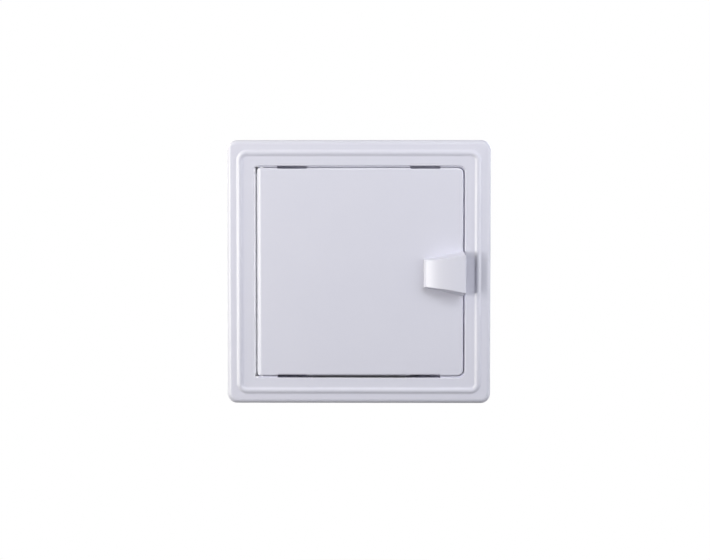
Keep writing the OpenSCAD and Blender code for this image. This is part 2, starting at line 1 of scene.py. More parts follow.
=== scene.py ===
"""A hinged access panel for a bath front, dressed for its picture.

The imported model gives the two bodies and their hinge. This script rebuilds the mouldings with
the eased edges that real mouldings have, makes ribs, screws and spring clips with Geometry
Nodes, and gives every piece its finish. Lengths are in millimetres, in the frame of the model,
until a piece is finished.
"""
import logging
import math
from dataclasses import dataclass, field
from enum import Enum
from typing import Any, Callable, Iterable, Sequence, TypeAlias

import bmesh
import bpy
from mathutils import Matrix, Vector


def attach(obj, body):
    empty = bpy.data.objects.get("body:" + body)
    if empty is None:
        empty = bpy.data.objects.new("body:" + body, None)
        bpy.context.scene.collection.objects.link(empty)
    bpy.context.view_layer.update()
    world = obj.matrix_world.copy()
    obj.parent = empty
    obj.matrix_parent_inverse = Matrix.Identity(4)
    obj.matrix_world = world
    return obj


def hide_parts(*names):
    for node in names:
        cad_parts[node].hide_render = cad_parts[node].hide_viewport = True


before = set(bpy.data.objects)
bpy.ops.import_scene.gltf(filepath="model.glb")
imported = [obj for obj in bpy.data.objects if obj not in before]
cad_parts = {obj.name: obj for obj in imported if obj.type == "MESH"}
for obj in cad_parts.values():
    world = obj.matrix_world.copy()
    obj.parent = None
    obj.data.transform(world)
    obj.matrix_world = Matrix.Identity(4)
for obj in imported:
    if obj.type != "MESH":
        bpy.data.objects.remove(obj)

LOG = logging.getLogger("access_panel")
MM = 0.001
QUARTER = math.pi / 2
EDGE_STEPS = 3
SHARP_EDGE = 35.0
BEVEL_EDGE = 30.0
WELD = 1e-5
SIDES = (-1, 1)
CORNERS = tuple((sx, sz) for sx in SIDES for sz in SIDES)
ALONG_X = (1.0, 0.0, 0.0)
ALONG_Z = (0.0, 0.0, 1.0)

Number: TypeAlias = "Term | float"
Flat: TypeAlias = tuple[float, float]
Point: TypeAlias = tuple[float, float, float]
Colour: TypeAlias = tuple[float, float, float]
Zone: TypeAlias = tuple[Point, Point, Point]
Mesh: TypeAlias = bpy.types.Mesh
Material: TypeAlias = bpy.types.Material
Object: TypeAlias = bpy.types.Object


class Body(Enum):
    """The two bodies of the panel, by their names in the record."""

    FRAME = "frame"
    DOOR = "door"


class Cut(Enum):
    """What a boolean step does with its tools."""

    REMOVE = "DIFFERENCE"
    KEEP = "INTERSECT"


# Node trees


def both_ways(operation: str) -> tuple[Callable[..., "Term"], Callable[..., "Term"]]:
    """Makes an arithmetic operator of terms and its reflected form.

    Args:
        operation: The operation of the Math node.

    Returns:
        The two methods.
    """

    def direct(self: "Term", other: Number) -> "Term":
        """Applies the operation to this term and another operand."""
        return self.math(operation, other)

    def reflected(self: "Term", other: float) -> "Term":
        """Applies the operation to a number and this term."""
        return self.tree.node("ShaderNodeMath", {"operation": operation}, {0: other, 1: self})

    return direct, reflected


class Term:
    """One output of a node tree; arithmetic with it adds the Math nodes that work it out."""

    def __init__(self, tree: "Tree", socket: bpy.types.NodeSocket) -> None:
        """Wraps one output socket of a tree."""
        self.tree = tree
        self.socket = socket

    def math(self, operation: str, *others: Number) -> "Term":
        """Applies one operation of the Math node to this term and further operands."""
        operands = dict(enumerate((self, *others)))
        return self.tree.node("ShaderNodeMath", {"operation": operation}, operands)

    def clamped(self) -> "Term":
        """Keeps the value between 0 and 1."""
        return self.math("MAXIMUM", 0.0).math("MINIMUM", 1.0)

    __add__, __radd__ = both_ways("ADD")
    __sub__, __rsub__ = both_ways("SUBTRACT")
    __mul__, __rmul__ = both_ways("MULTIPLY")
    __truediv__, __rtruediv__ = both_ways("DIVIDE")
    __mod__, __rmod__ = both_ways("FLOORED_MODULO")
    __pow__, __rpow__ = both_ways("POWER")


class Tree:
    """A node tree that grows by one method."""

    def __init__(self, tree: bpy.types.NodeTree) -> None:
        """Wraps a Blender node tree."""
        self.tree = tree

    def node(
        self,
        kind: str,
        settings: dict[str, Any] | None = None,
        values: dict[int | str, Any] | None = None,
        output: int | str = 0,
    ) -> Term:
        """Adds one node.

        Args:
            kind: Blender's name of the node's type.
            settings: Properties, set before the sockets.
            values: Numbers, terms or lists of terms for the input sockets.
            output: The output that the caller goes on with.

        Returns:
            That output.
        """
        made = self.tree.nodes.new(kind)
        for name, value in (settings or {}).items():
            setattr(made, name, value)
        for key, value in (values or {}).items():
            for one in value if isinstance(value, list) else [value]:
                if isinstance(one, Term):
                    self.tree.links.new(one.socket, made.inputs[key])
                else:
                    made.inputs[key].default_value = one
        return Term(self, made.outputs[output] if len(made.outputs) else made.inputs[0])

    def vector(self, x: Number, y: Number, z: Number) -> Term:
        """Joins three values to a vector."""
        return self.node("ShaderNodeCombineXYZ", None, {0: x, 1: y, 2: z})

    def part(self, vector: Term, axis: str) -> Term:
        """Takes one component of a vector."""
        return self.node("ShaderNodeSeparateXYZ", None, {0: vector}, axis)

    def seen_by(self, *kinds: str) -> Term:
        """Gives 1 for rays of the given kinds and 0 for all others."""
        rays = [self.node("ShaderNodeLightPath", None, None, f"Is {kind} Ray") for kind in kinds]
        return sum(rays[1:], rays[0]).math("MINIMUM", 1.0)

    def mixed(self, share: Term, first: Term, second: Term) -> Term:
        """Mixes two shaders."""
        return self.node("ShaderNodeMixShader", None, {0: share, 1: first, 2: second})


class Shader(Tree):
    """The tree of one material."""

    def __init__(self, name: str) -> None:
        """Makes an empty material.

        Args:
            name: Its name.
        """
        self.material = bpy.data.materials.new(name)
        self.material.use_nodes = True
        super().__init__(self.material.node_tree)
        self.tree.nodes.clear()

    def place(self) -> Term:
        """Reads the position on the object."""
        return self.node("ShaderNodeTexCoord", None, None, "Object")

    def noise(self, size: float, detail: float = 2.0, stretch: Point = (1.0, 1.0, 1.0)) -> Term:
        """Makes noise from 0 to 1.

        Args:
            size: The size of its patches in millimetres.
            detail: The number of finer layers.
            stretch: How many times longer the patches are along each axis.

        Returns:
            The noise.
        """
        scale = tuple(1.0 / part for part in stretch)
        laid = self.node("ShaderNodeMapping", None, {"Vector": self.place(), "Scale": scale})
        values = {"Vector": laid, "Scale": 1.0 / (size * MM), "Detail": detail}
        return self.node("ShaderNodeTexNoise", None, values)

    def within(self, low: Point, high: Point, fade: Point) -> Term:
        """Marks a box on the object.

        Args:
            low: Its low corner in millimetres.
            high: Its high corner in millimetres.
            fade: How far inside its faces the mark is full, along each axis.

        Returns:
            A term that is 1 in the box and 0 outside.
        """
        mark = 1.0
        for axis, start, end, soft in zip("XYZ", low, high, fade):
            offset = (self.part(self.place(), axis) / MM - (start + end) / 2).math("ABSOLUTE")
            mark = mark * (((end - start) / 2 - offset) / soft).clamped()
        return mark

    def blend(self, share: Number, first: Any, second: Any) -> Term:
        """Mixes two colours or terms, with the share of the second one."""
        first, second = (c if isinstance(c, Term) else (*c, 1.0) for c in (first, second))
        return self.node("ShaderNodeMix", {"data_type": "RGBA"}, {0: share, 6: first, 7: second}, 2)

    def relief(self, height: Term, depth: float, strength: float = 1.0) -> Term:
        """Turns a height from 0 to 1 into a normal.

        Args:
            height: The height.
            depth: The depth in millimetres that 1 stands for.
            strength: The strength of the relief.

        Returns:
            The normal.
        """
        values = {"Strength": strength, "Distance": depth * MM, "Height": height}
        return self.node("ShaderNodeBump", None, values)

    def surface(self, values: dict[str, Any]) -> Material:
        """Ends the material with its main shader.

        Args:
            values: The values of the shader's sockets.

        Returns:
            The material.
        """
        shader = self.node("ShaderNodeBsdfPrincipled", None, values)
        self.node("ShaderNodeOutputMaterial", None, {"Surface": shader})
        return self.material


def linked(name: str, data: Any) -> Object:
    """Puts data into the scene.

    Args:
        name: The name of the new object.
        data: Its data.

    Returns:
        The object.
    """
    made = bpy.data.objects.new(name, data)
    bpy.context.scene.collection.objects.link(made)
    return made


def plain_mesh(source: Object) -> Mesh:
    """Evaluates an object with its modifiers.

    Args:
        source: The object.

    Returns:
        The result as a plain mesh.
    """
    graph = bpy.context.evaluated_depsgraph_get()
    evaluated = source.evaluated_get(graph)
    return bpy.data.meshes.new_from_object(evaluated, preserve_all_data_layers=True, depsgraph=graph)


class Recipe(Tree):
    """A Geometry Nodes tree with named inputs."""

    def __init__(self, name: str) -> None:
        """Makes the tree with its points, a finish and one geometry output.

        Args:
            name: Its name.
        """
        group = bpy.data.node_groups.new(name, "GeometryNodeTree")
        super().__init__(group)
        group.interface.new_socket(name="Geometry", in_out="OUTPUT", socket_type="NodeSocketGeometry")
        self.entry = group.nodes.new("NodeGroupInput")
        self.points = self.ask("Points", "Geometry")
        self.finish = self.ask("Finish", "Material")

    def ask(self, name: str, kind: str = "Float") -> Term:
        """Adds a named input of a kind and gives its value inside the tree."""
        self.tree.interface.new_socket(name=name, in_out="INPUT", socket_type="NodeSocket" + kind)
        return Term(self, self.entry.outputs[name])

    def shape(self, name: str) -> Term:
        """Adds a named input for an object and gives its geometry."""
        return self.node("GeometryNodeObjectInfo", None, {0: self.ask(name, "Object")}, "Geometry")

    def close(self, geometry: Term) -> None:
        """Ends the tree by making instances real and giving them their finish.

        Args:
            geometry: What the tree has built.
        """
        real = self.node("GeometryNodeRealizeInstances", None, {0: geometry})
        values = {"Geometry": real, "Material": self.finish}
        dressed = self.node("GeometryNodeSetMaterial", None, values)
        self.node("NodeGroupOutput", None, {0: dressed})

    def grow(self, values: dict[str, Any], points: Sequence[Point] = ()) -> Mesh:
        """Runs the tree once.

        Args:
            values: The values of its named inputs. A mesh stands in as an object meanwhile.
            points: Vertices that the tree starts from, if it uses any.

        Returns:
            The result as a plain mesh.
        """
        start = bpy.data.meshes.new("start")
        start.from_pydata(list(points), [], [])
        used = [linked("host", start)]
        modifier = used[0].modifiers.new("recipe", "NODES")
        modifier.node_group = self.tree
        for item in self.tree.interface.items_tree:
            if item.in_out == "INPUT" and item.name in values:
                value = values[item.name]
                if isinstance(value, Mesh):
                    value = linked("template", value)
                    used.append(value)
                modifier[item.identifier] = value
        made = plain_mesh(used[0])
        used[0].modifiers.clear()
        for one in used:
            bpy.data.objects.remove(one)
        return made


class RoundedSquareSweep(Recipe):
    """Sweeps a profile round a square whose corners are round.

    Every point of the profile has its own half width, depth and corner radius.
    """

    def __init__(self) -> None:
        """Builds the tree."""
        super().__init__("Rounded square sweep")
        steps = self.ask("Corner steps", "Int")
        profile = self.shape("Profile")
        stations = self.node("GeometryNodeAttributeDomainSize", None, {0: profile}, "Point Count")
        around = (steps + 1.0) * 4.0
        sizes = {0: around, 1: stations, 2: around + 1.0, 3: stations + 1.0}
        sheet = self.node("GeometryNodeMeshGrid", None, sizes)
        here = self.node("GeometryNodeInputPosition")
        turn = (self.part(here, "X") + around / 2.0).math("ROUND") % around
        station = (self.part(here, "Y") + stations / 2.0).math("ROUND") % stations
        corner = (turn / (steps + 1.0)).math("FLOOR")
        angle = (corner + (turn - corner * (steps + 1.0)) / steps) * QUARTER
        values = {"Geometry": profile, "Value": here, "Index": station}
        sampled = self.node("GeometryNodeSampleIndex", {"data_type": "FLOAT_VECTOR"}, values)
        half, depth, radius = (self.part(sampled, axis) for axis in "XYZ")
        middle = (corner + 0.5) * QUARTER
        reach = (half - radius) * math.sqrt(2)
        moved = self.vector(
            middle.math("COSINE") * reach + angle.math("COSINE") * radius,
            depth,
            middle.math("SINE") * reach + angle.math("SINE") * radius,
        )
        placed = self.node("GeometryNodeSetPosition", None, {"Geometry": sheet, "Position": moved})
        values = {"Geometry": placed, "Distance": 0.001}
        self.close(self.node("GeometryNodeMergeByDistance", None, values))

    def sweep(self, profile: Sequence[Point], finish: Material, steps: int) -> Mesh:
        """Sweeps one closed profile.

        Args:
            profile: Half width, depth and corner radius of each point.
            finish: The material.
            steps: How many steps each corner takes.

        Returns:
            The closed ring.
        """
        line = bpy.data.meshes.new("profile")
        line.from_pydata(list(profile), [], [])
        return self.grow({"Profile": line, "Corner steps": steps, "Finish": finish})


class Rows(Recipe):
    """Repeats a piece along a row, and the row round the middle of the panel."""

    def __init__(self) -> None:
        """Builds the tree."""
        super().__init__("Rows round the panel")
        piece = self.shape("Piece")
        line = {"mode": "OFFSET"}
        inputs = {"Count": "Int", "Start Location": "Vector", "Offset": "Vector"}
        values = {name: self.ask(name, kind) for name, kind in inputs.items()}
        spots = self.node("GeometryNodeMeshLine", line, values)
        values = {"Points": spots, "Instance": piece}
        row = self.node("GeometryNodeInstanceOnPoints", None, values)
        values = {"Count": self.ask("Sides", "Int"), "Offset": (0.0, 0.0, 0.0)}
        sides = self.node("GeometryNodeMeshLine", line, values)
        turned = self.node("GeometryNodeInputIndex") * self.ask("Side turn")
        values = {"Points": sides, "Instance": row, "Rotation": self.vector(0.0, turned, 0.0)}
        self.close(self.node("GeometryNodeInstanceOnPoints", None, values))

    def repeat(
        self, piece: Mesh, finish: Material, places: Sequence[float], axis: Point, sides: int = 1
    ) -> Mesh:
        """Repeats a piece at even places along a line.

        Args:
            piece: The piece at the middle of its row.
            finish: The material.
            places: The even places along the line.
            axis: The direction of the line.
            sides: How many sides of the panel carry the row.

        Returns:
            All copies as one mesh.
        """
        values = {"Piece": piece, "Count": len(places), "Sides": sides, "Finish": finish}
        values["Start Location"] = tuple(Vector(axis) * places[0])
        values["Offset"] = tuple(Vector(axis) * (places[1] - places[0]))
        values["Side turn"] = 2 * math.pi / sides
        return self.grow(values)


class ThreadedScrews(Recipe):
    """Stands threaded screws with a given head on a set of points."""

    def __init__(self) -> None:
        """Builds the tree."""
        super().__init__("Threaded screws")
        head, length, start = self.shape("Head"), self.ask("Thread length"), self.ask("Thread start")
        core, tooth = self.ask("Core radius"), self.ask("Tooth")
        turns = length / self.ask("Pitch")
        values = {"Resolution": 20, "Rotations": turns, "Start Radius": core, "End Radius": core}
        helix = self.node("GeometryNodeCurveSpiral", None, {**values, "Height": length})
        values = {"Resolution": 4, "Radius": tooth}
        outline = self.node("GeometryNodeCurvePrimitiveCircle", None, values)
        values = {"Curve": helix, "Profile Curve": outline, "Fill Caps": True}
        thread = self.node("GeometryNodeCurveToMesh", None, values)
        values = {"Geometry": thread, "Translation": self.vector(0.0, 0.0, start)}
        raised = self.node("GeometryNodeTransform", None, values)
        screw = self.node("GeometryNodeJoinGeometry", None, {0: [head, raised]})
        values = {"Points": self.points, "Instance": screw, "Rotation": self.ask("Turn", "Vector")}
        self.close(self.node("GeometryNodeInstanceOnPoints", None, values))


# Meshes


def arc(centre: Flat, radius: float, start: float, end: float, steps: int) -> list[Flat]:
    """Lists points on a circle, with both ends.

    Args:
        centre: The middle of the circle.
        radius: Its radius.
        start: The first angle in degrees.
        end: The last angle in degrees.
        steps: The number of steps between them.

    Returns:
        The points.
    """
    angles = (math.radians(start + (end - start) * i / steps) for i in range(steps + 1))
    return [(centre[0] + radius * math.cos(a), centre[1] + radius * math.sin(a)) for a in angles]


def span(side: int, near: float, far: float) -> Flat:
    """Gives a range of heights at the upper or the lower side, in rising order."""
    low, high = sorted((side * near, side * far))
    return low, high


def stood(x: float, y: float, z: float, degrees: float = 0.0) -> Matrix:
    """Gives a place for a turned solid, tipped about the X axis."""
    return Matrix.Translation((x, y, z)) @ Matrix.Rotation(math.radians(degrees), 4, "X")


def rounded(mesh: bmesh.types.BMesh, ease: float, steps: int, angle: float) -> None:
    """Rounds the edges of a mesh that are sharper than an angle.

    Args:
        mesh: The mesh.
        ease: The radius.
        steps: The number of segments.
        angle: The angle in degrees.
    """
    sharp = [e for e in mesh.edges if e.calc_face_angle(0.0) > math.radians(angle)]
    shape = {"offset": ease, "segments": steps, "profile": 0.5, "affect": "EDGES"}
    bmesh.ops.bevel(mesh, geom=sharp, clamp_overlap=True, **shape)


class Casting:
    """Gathers closed solids that belong to one moulding or fitting."""

    def __init__(self) -> None:
        """Starts empty."""
        self.mesh = bmesh.new()

    def skin(self, loops: Sequence[Sequence[Point]], ring: bool = False) -> None:
        """Covers a row of outlines that have the same number of points.

        Args:
            loops: The outlines in order.
            ring: Joins the last outline to the first instead of capping both.
        """
        rows = [[self.mesh.verts.new(point) for point in loop] for loop in loops]
        count = len(rows[0])
        pairs = list(zip(rows, rows[1:])) + ([(rows[-1], rows[0])] if ring else [])
        for low, high in pairs:
            for i in range(count):
                j = (i + 1) % count
                self.mesh.faces.new((low[i], low[j], high[j], high[i]))
        if not ring:
            self.mesh.faces.new(rows[0][::-1])
            self.mesh.faces.new(rows[-1])

    def run(self, outline: Sequence[Flat], axis: int, low: float, high: float, ease: float = 0.0) -> None:
        """Runs an outline along an axis and rounds the sharp edges.

        Args:
            outline: Its points in the two other axes.
            axis: The axis, 0 for X to 2 for Z.
            low: Where the solid starts.
            high: Where it ends.
            ease: The radius of its edges.
        """
        piece = Casting()
        piece.skin([[(*point[:axis], end, *point[axis:]) for point in outline] for end in (low, high)])
        bmesh.ops.recalc_face_normals(piece.mesh, faces=piece.mesh.faces)
        if ease:
            rounded(piece.mesh, ease, EDGE_STEPS, SHARP_EDGE)
        self.absorb(piece.mesh)

    def block(self, low: Point, high: Point, ease: float = 0.25) -> None:
        """Adds a box between two corners, with rounded edges."""
        outline = [(low[0], low[2]), (high[0], low[2]), (high[0], high[2]), (low[0], high[2])]
        self.run(outline, 1, low[1], high[1], ease)

    def slab(self, middle: float, half: float, depths: Flat, heights: Flat, ease: float = 0.25) -> None:
        """Adds a box with rounded edges.

        Args:
            middle: Its middle along X.
            half: Half its width.
            depths: Its front and back.
            heights: Its lower and upper end.
            ease: The radius of its edges.
        """
        low, high = ((middle + side * half, y, z) for side, y, z in zip(SIDES, depths, heights))
        self.block(low, high, ease)

    def turned(self, profile: Sequence[Flat], place: Matrix, steps: int = 40) -> None:
        """Turns a closed profile round the Z axis.

        Args:
            profile: Radius and height of each point; a radius of 0 lies on the axis.
            place: Where the turned solid goes.
            steps: The number of steps round.
        """
        piece = Casting()
        turns = (2 * math.pi * i / steps for i in range(steps))
        loops = [[(r * math.cos(a), r * math.sin(a), z) for r, z in profile] for a in turns]
        piece.skin(loops, ring=True)
        bmesh.ops.remove_doubles(piece.mesh, verts=piece.mesh.verts, dist=WELD)
        bmesh.ops.dissolve_degenerate(piece.mesh, edges=piece.mesh.edges, dist=WELD)
        bmesh.ops.transform(piece.mesh, matrix=place, verts=piece.mesh.verts)
        self.absorb(piece.mesh)

    def rod(self, radius: float, heights: Flat, place: Matrix, steps: int) -> None:
        """Adds a plain round tool between two heights of its place."""
        low, high = heights
        self.turned([(0.0, low), (radius, low), (radius, high), (0.0, high)], place, steps)

    def absorb(self, other: "bmesh.types.BMesh | bpy.types.Mesh") -> None:
        """Adds the faces of another mesh, facing outwards.

        Args:
            other: The mesh. A bmesh is freed.
        """
        if isinstance(other, Mesh):
            made = bmesh.new()
            made.from_mesh(other)
            other = made
        bmesh.ops.recalc_face_normals(other, faces=other.faces)
        carrier = bpy.data.meshes.new("carrier")
        other.to_mesh(carrier)
        other.free()
        self.mesh.from_mesh(carrier)
        bpy.data.meshes.remove(carrier)

    def cut(self, tools: "Casting", kind: Cut = Cut.REMOVE) -> None:
        """Applies one boolean step.

        Args:
            tools: The casting whose solids cut.
            kind: What they do.
        """
        target, knife = linked("target", self.plain()), linked("knife", tools.plain())
        modifier = target.modifiers.new("cut", "BOOLEAN")
        modifier.operation, modifier.solver, modifier.object = kind.value, "EXACT", knife
        result = plain_mesh(target)
        for used in (target, knife):
            bpy.data.objects.remove(used)
        self.mesh.clear()
        self.mesh.from_mesh(result)

    def plain(self) -> Mesh:
        """Copies the gathered solids.

        Returns:
            The copy as a mesh.
        """
        made = bpy.data.meshes.new("plain")
        self.mesh.to_mesh(made)
        return made

    def piece(
        self,
        name: str,
        finish: Material,
        body: Body,
        slot: str,
        nodes: Sequence[str],
        ease: float = 0.0,
        smooth: float = 38.0,
    ) -> None:
        """Finishes the solids as one piece of the panel.

        Args:
            name: The piece's name.
            finish: Its material.
            body: The body that it moves with.
            slot: The record's material slot; not used.
            nodes: The nodes of the model that it stands for.
            ease: The radius of a bevel on its sharp edges.
            smooth: Edges up to this angle in degrees are shaded smooth.
        """
        mesh = self.plain()
        self.mesh.free()
        mesh.transform(Matrix.Scale(MM, 4))
        mesh.materials.clear()
        mesh.materials.append(finish)
        mesh.polygons.foreach_set("material_index", [0] * len(mesh.polygons))
        draft = linked("draft", mesh)
        if ease:
            bevel = draft.modifiers.new("edges", "BEVEL")
            bevel.width, bevel.segments = ease * MM, EDGE_STEPS
            bevel.limit_method, bevel.angle_limit = "ANGLE", math.radians(BEVEL_EDGE)
            mesh = plain_mesh(draft)
            draft.modifiers.clear()
            draft.data = mesh
        mesh.polygons.foreach_set("use_smooth", [True] * len(mesh.polygons))
        mesh.set_sharp_from_angle(angle=math.radians(smooth))
        draft.modifiers.new("normals", "WEIGHTED_NORMAL").keep_sharp = True
        done = plain_mesh(draft)
        bpy.data.objects.remove(draft)
        done.name = name
        made = linked(name, done)
        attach(made, body.value)
        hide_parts(*nodes)
        LOG.info("%s: %d faces on %s", name, len(done.polygons), body.value)


# Finishes


@dataclass(frozen=True)
class MouldedPlastic:
    """Satin moulded plastic with a fine grain, painted shade in the lower gap and painted light on the
    hinge-side strip.
    """

    name: str
    colour: Colour
    shade: Colour
    roughness: float = 0.33
    grain: float = 0.010
    # Painted shade: a near-black colour laid into the lower gap zone, standing in for the deep shadow there.
    gap_painted_shade: Colour = (0.030, 0.029, 0.033)
    gap: Zone = ((-66.0, -4.0, -89.4), (66.0, 5.3, -86.2), (34.0, 0.5, 0.3))
    # Painted light: a near-white colour on the hinge-side strip, brightening it as if lit.
    hinge_painted_light: Colour = (0.96, 0.95, 0.99)
    hinge: Zone = ((-86.7, -4.9, -88.0), (-83.0, 5.2, 88.0), (0.3, 0.3, 0.5))

    def material(self) -> Material:
        """Builds the material.

        Returns:
            The material.
        """
        shader = Shader(self.name)
        clouds = shader.noise(48.0, 3.0)
        flecks = shader.noise(1.1, 2.0)
        share = (clouds * 0.7 + flecks * 0.3).math("MULTIPLY_ADD", 1.6, -0.3)
        clean = shader.blend(share.math("MAXIMUM", 0.0), self.colour, self.shade)
        # Painted light: the hinge-side strip is brightened to near white.
        with_painted_light = shader.blend(shader.within(*self.hinge), clean, self.hinge_painted_light)
        # Painted shade: the lower gap zone gets the near-black colour and a rougher surface.
        painted_shade_share = shader.within(*self.gap)
        ripple = shader.relief(shader.noise(26.0, 1.0), 0.05, 0.35)
        pores = shader.noise(0.45, 3.0)
        depth = {"Strength": 0.6, "Distance": self.grain * MM}
        grain = shader.node("ShaderNodeBump", None, {**depth, "Height": pores, "Normal": ripple})
        satin = self.roughness + (pores - 0.5) * 0.12 + (clouds - 0.5) * 0.08
        return shader.surface(
            {
                "Base Color": shader.blend(painted_shade_share, with_painted_light, self.gap_painted_shade),
                "Roughness": satin + painted_shade_share * 0.5,
                "IOR": 1.49,
                "Normal": grain,
            }
        )


@dataclass(frozen=True)
class BrushedMetal:
    """Rolled or plated steel with lines along one direction and a light stain."""

    name: str
    colour: Colour
    stain: Colour
    lines: Point
    roughness: float = 0.30

    def material(self) -> Material:
        """Builds the material.

        Returns:
            The material.
        """
        shader = Shader(self.name)
        lines = shader.noise(0.22, 3.0, self.lines)
        spangle = shader.noise(2.6, 3.0)
        return shader.surface(
            {
                "Base Color": shader.blend(spangle ** 2.0, self.colour, self.stain),
                "Metallic": 1.0,
                "Roughness": self.roughness + (lines - 0.5) * 0.22 + (spangle - 0.5) * 0.12,
                "Normal": shader.relief(lines, 0.006, 0.8),
            }
        )


@dataclass(frozen=True)
class GroundFerrite:
    """Dark sintered magnet material, ground flat, with pores and fine scratches."""

    name: str
    colour: Colour
    dust: Colour

    def material(self) -> Material:
        """Builds the material.

        Returns:
            The material.
        """
        shader = Shader(self.name)
        pores = shader.noise(0.35, 4.0)
        scratches = shader.noise(0.18, 2.0, (1.0, 1.0, 30.0))
        return shader.surface(
            {
                "Base Color": shader.blend((pores ** 3.0) * 0.9, self.colour, self.dust),
                "Metallic": 0.25,
                "Roughness": 0.42 + scratches * 0.25,
                "Normal": shader.relief(pores * 0.7 + scratches * 0.3, 0.02, 0.7),
            }
        )


class Finishes:
    """Every finish of the panel, built once."""

    def __init__(self) -> None:
        """Builds the materials."""
        self.white = MouldedPlastic(
            "satin white plastic", (0.700, 0.692, 0.790), (0.672, 0.666, 0.768)
        ).material()
        self.catch = MouldedPlastic(
            "plain catch plastic", (0.76, 0.76, 0.77), (0.70, 0.70, 0.72), 0.48, 0.016
        ).material()
        self.spring = BrushedMetal(
            "rolled spring strip", (0.46, 0.48, 0.51), (0.34, 0.36, 0.40), (1.0, 26.0, 26.0), 0.27
        ).material()
        self.zinc = BrushedMetal(
            "zinc plate", (0.55, 0.57, 0.60), (0.62, 0.60, 0.56), (1.0, 1.0, 18.0), 0.33
        ).material()
        self.bright = BrushedMetal(
            "bright screw plating", (0.60, 0.61, 0.63), (0.50, 0.52, 0.56), (1.0, 3.0, 1.0), 0.24
        ).material()
        self.ferrite = GroundFerrite(
            "ground ferrite", (0.07, 0.07, 0.08), (0.16, 0.15, 0.15)
        ).material()


# Sub-assemblies


@dataclass
class Shared:
    """Places and sizes that several sub-assemblies share."""

    axis: Flat = (-80.0, -0.6)
    face: float = -5.0
    notch_place: float = 55.0
    notch_half: float = 12.5
    catch_x: float = 76.0
    screw_x: float = 62.1
    screw_places: Flat = (6.1, -8.5)
    pilot: float = 1.57
    rib: float = 1.6
    sink: float = 0.2
    past: float = 1.0
    skim: float = 0.01

    def bore(self, tools: Casting, radius: float, start: float, end: float, steps: int) -> None:
        """Adds a bore along the hinge axis at the upper and the lower side.

        Args:
            tools: Where the bores go.
            radius: Their radius.
            start: Their end nearest the middle.
            end: Their other end.
            steps: The number of steps round.
        """
        for sz in SIDES:
            tools.rod(radius, span(sz, start, end), stood(*self.axis, 0.0), steps)


